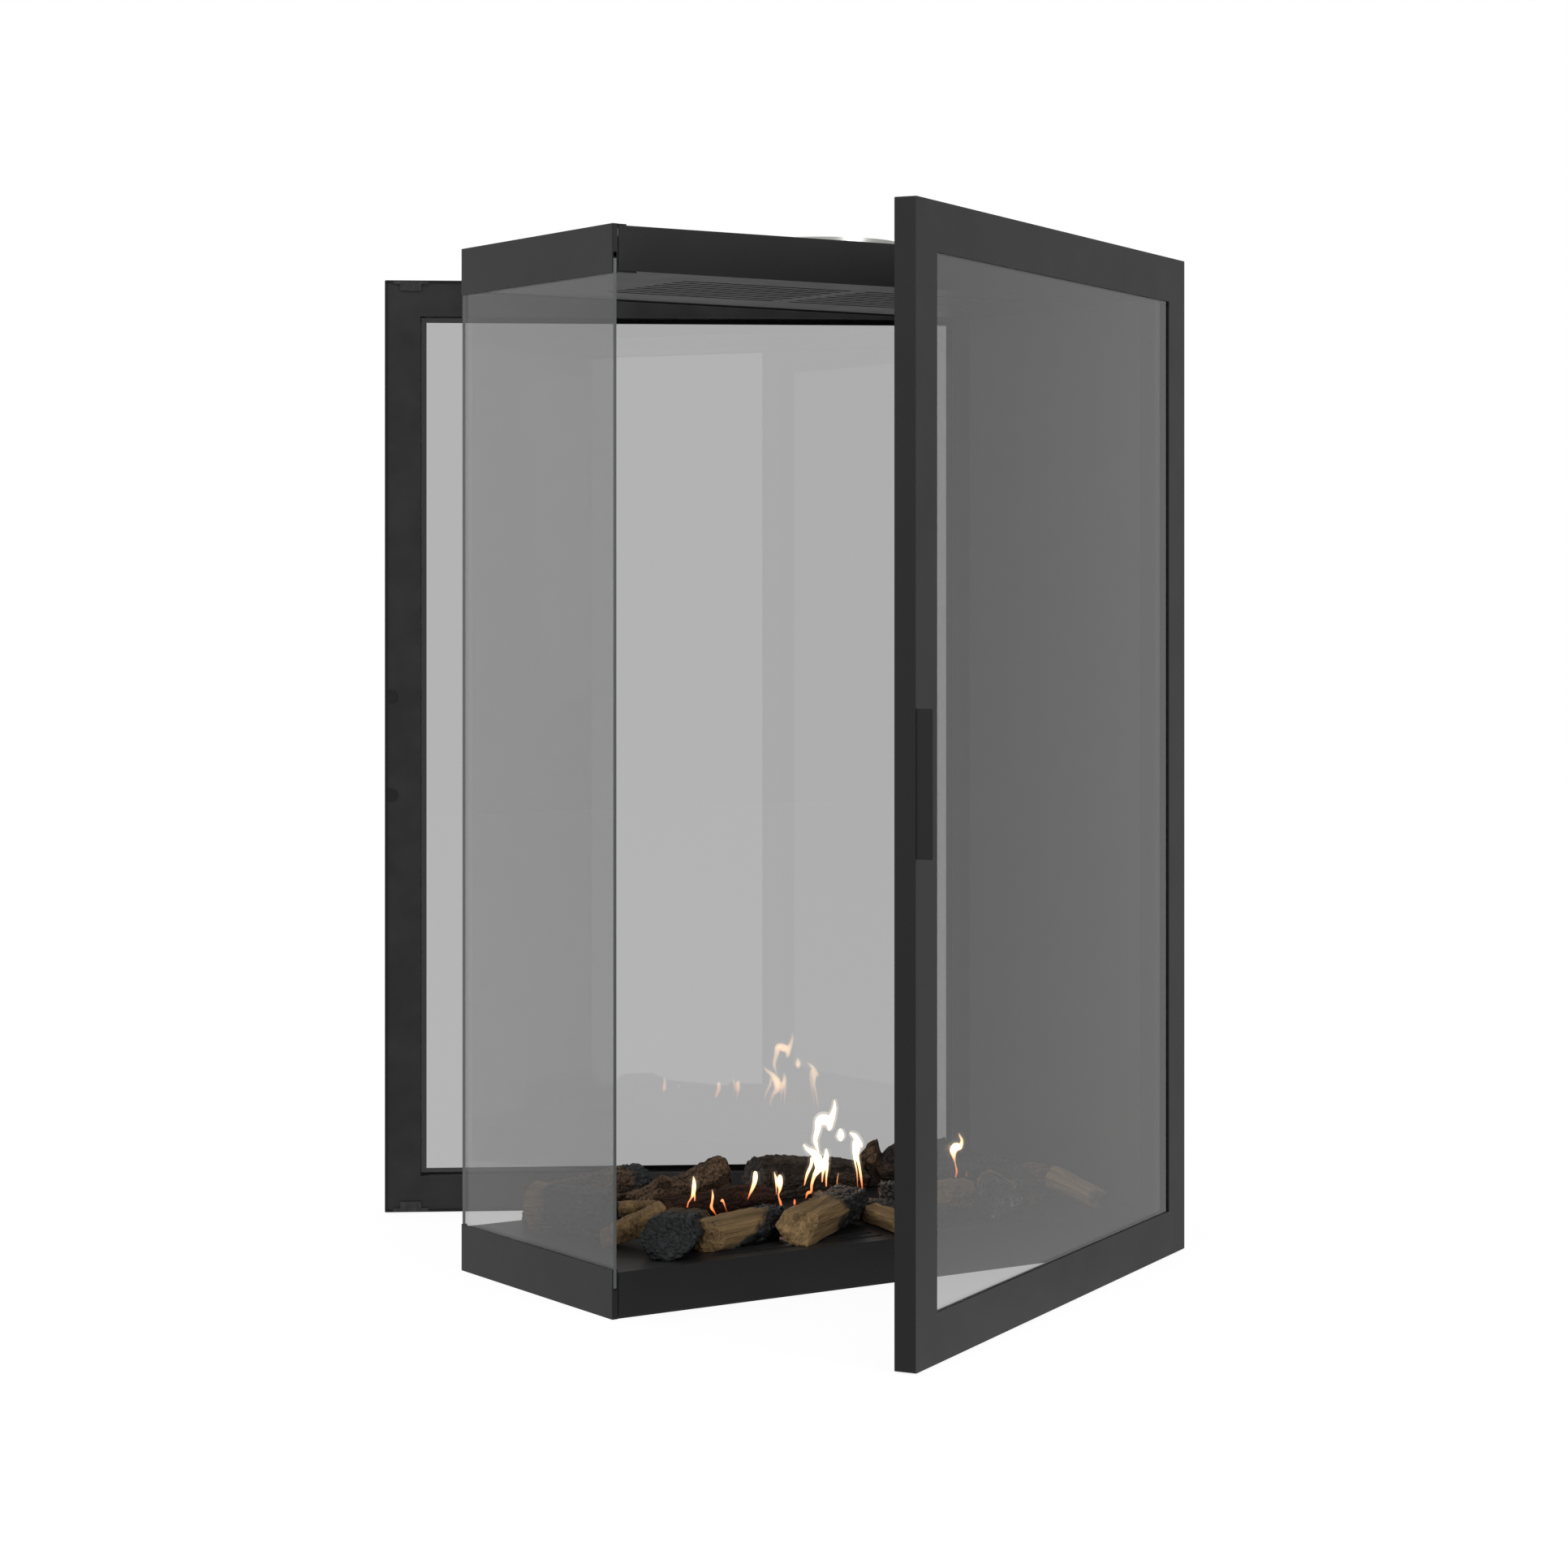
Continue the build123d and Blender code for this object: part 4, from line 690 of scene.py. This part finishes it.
# Studio.
# A white floor that fades into the backdrop, a broad soft lamp high on the left and a lower one
# in front, a little to the right. The eye sees floor and backdrop plain white. A reflection finds
# them dimmer on the right, and brightest behind the object.
FLOOR_SIZE = 16.0
FLOOR_COLOUR = "#e2e2e2"
FLOOR_SHADOW = 0.15  # share of the seen floor that the lamps light, and so shadow
STUDIO_LIGHT = 0.6
OPEN_FLOOR_LIGHT = 0.55  # what a white matt floor shows far from the object
RIGHT_SIDE_LIGHT = 0.705  # what a reflection finds there, as a share of what it finds on the left
REAR_LIGHT = 1.06
FRONT_LIGHT = 0.95


def reflected_light(material, direction):
    """How bright a reflection finds the studio in one direction."""
    way = add_node(material, "ShaderNodeSeparateXYZ", {0: direction})
    sideways = add_node(material, "ShaderNodeMapRange", {
        "Value": way.outputs["X"], "To Min": 1.0, "To Max": RIGHT_SIDE_LIGHT})
    return add_node(material, "ShaderNodeMapRange", {
        "Value": way.outputs["Y"], "From Min": -1.0,
        "To Min": add_node(material, "ShaderNodeMath", {0: sideways, 1: FRONT_LIGHT}, operation="MULTIPLY"),
        "To Max": add_node(material, "ShaderNodeMath", {0: sideways, 1: REAR_LIGHT}, operation="MULTIPLY")})


shadow_floor = blank_material("studio_floor")
rays = add_node(shadow_floor, "ShaderNodeLightPath")
mirrored = rays.outputs["Is Glossy Ray"]
seen = add_node(shadow_floor, "ShaderNodeMath", {
    0: rays.outputs["Is Camera Ray"], 1: rays.outputs["Is Transmission Ray"]}, operation="MAXIMUM")
matt = add_node(shadow_floor, "ShaderNodeBsdfDiffuse", {"Color": linear(FLOOR_COLOUR)})
shaded = add_node(shadow_floor, "ShaderNodeBsdfDiffuse", {
    "Color": (FLOOR_SHADOW, FLOOR_SHADOW, FLOOR_SHADOW, 1)})
lift = add_node(shadow_floor, "ShaderNodeEmission", {
    "Color": (1, 1, 1, 1), "Strength": 1 - OPEN_FLOOR_LIGHT * FLOOR_SHADOW})
white = add_node(shadow_floor, "ShaderNodeAddShader", {0: shaded, 1: lift})
outward = add_node(shadow_floor, "ShaderNodeVectorMath", {
    0: add_node(shadow_floor, "ShaderNodeTexCoord").outputs["Object"]}, operation="NORMALIZE")
reflected = add_node(shadow_floor, "ShaderNodeEmission", {
    "Color": (1, 1, 1, 1), "Strength": reflected_light(shadow_floor, outward)})
either = add_node(shadow_floor, "ShaderNodeMixShader", {0: seen, 1: matt, 2: white})
either = add_node(shadow_floor, "ShaderNodeMixShader", {0: mirrored, 1: either, 2: reflected})
add_node(shadow_floor, "ShaderNodeOutputMaterial", {"Surface": either})
bpy.ops.mesh.primitive_plane_add(size=FLOOR_SIZE)
floor = bpy.context.object
floor.name = "studio_floor"
floor.data.materials.append(shadow_floor)

world = bpy.data.worlds.new("studio_backdrop")
bpy.context.scene.world = world
world.use_nodes = True
world.node_tree.nodes.clear()
rays = add_node(world, "ShaderNodeLightPath")
seen = add_node(world, "ShaderNodeMath", {
    0: rays.outputs["Is Camera Ray"], 1: rays.outputs["Is Transmission Ray"]}, operation="MAXIMUM")
outward = add_node(world, "ShaderNodeTexCoord").outputs["Generated"]
level = add_node(world, "ShaderNodeMapRange", {"Value": seen, "To Min": STUDIO_LIGHT, "To Max": 1.0})
level = add_node(world, "ShaderNodeMix", {
    0: rays.outputs["Is Glossy Ray"], 2: level, 3: reflected_light(world, outward)})
backdrop = add_node(world, "ShaderNodeBackground", {"Color": (1, 1, 1, 1), "Strength": level})
add_node(world, "ShaderNodeOutputWorld", {"Surface": backdrop})


def add_soft_lamp(name, spot, target, size, watts):
    """Hang a square area lamp at one place, turned to another."""
    lamp = bpy.data.objects.new(name, bpy.data.lights.new(name, "AREA"))
    lamp.data.size = size
    lamp.data.energy = watts
    lamp.location = spot
    lamp.rotation_euler = (Vector(target) - Vector(spot)).to_track_quat("-Z", "Y").to_euler()
    bpy.context.scene.collection.objects.link(lamp)


LEFT_LAMP_SIZE = 2.2
LEFT_LAMP_WATTS = 28
RIGHT_LAMP_SIZE = 1.6
RIGHT_LAMP_WATTS = 50
add_soft_lamp("left_soft_lamp", (-3.5, -1.0, 2.6), (0, 0, 0.6), LEFT_LAMP_SIZE, LEFT_LAMP_WATTS)
add_soft_lamp("right_soft_lamp", (0.95, -3.9, 1.3), (0.1, 0, 0.3), RIGHT_LAMP_SIZE, RIGHT_LAMP_WATTS)


# Camera, at the photograph's own place, height and lens: level, and shifted down to frame it.
CAMERA_SPOT = Vector((-2.3875, -3.4900, 0.7866))
CAMERA_TURN = math.radians(-33.71)
CAMERA_LENS = 81.07
CAMERA_SHIFT = -0.1168
camera = bpy.data.objects.new("camera", bpy.data.cameras.new("camera"))
camera.location = CAMERA_SPOT
camera.rotation_euler = (math.radians(90), 0, CAMERA_TURN)
camera.data.lens = CAMERA_LENS
camera.data.shift_y = CAMERA_SHIFT
bpy.context.scene.collection.objects.link(camera)
bpy.context.scene.camera = camera
bpy.context.scene.view_settings.view_transform = "Standard"
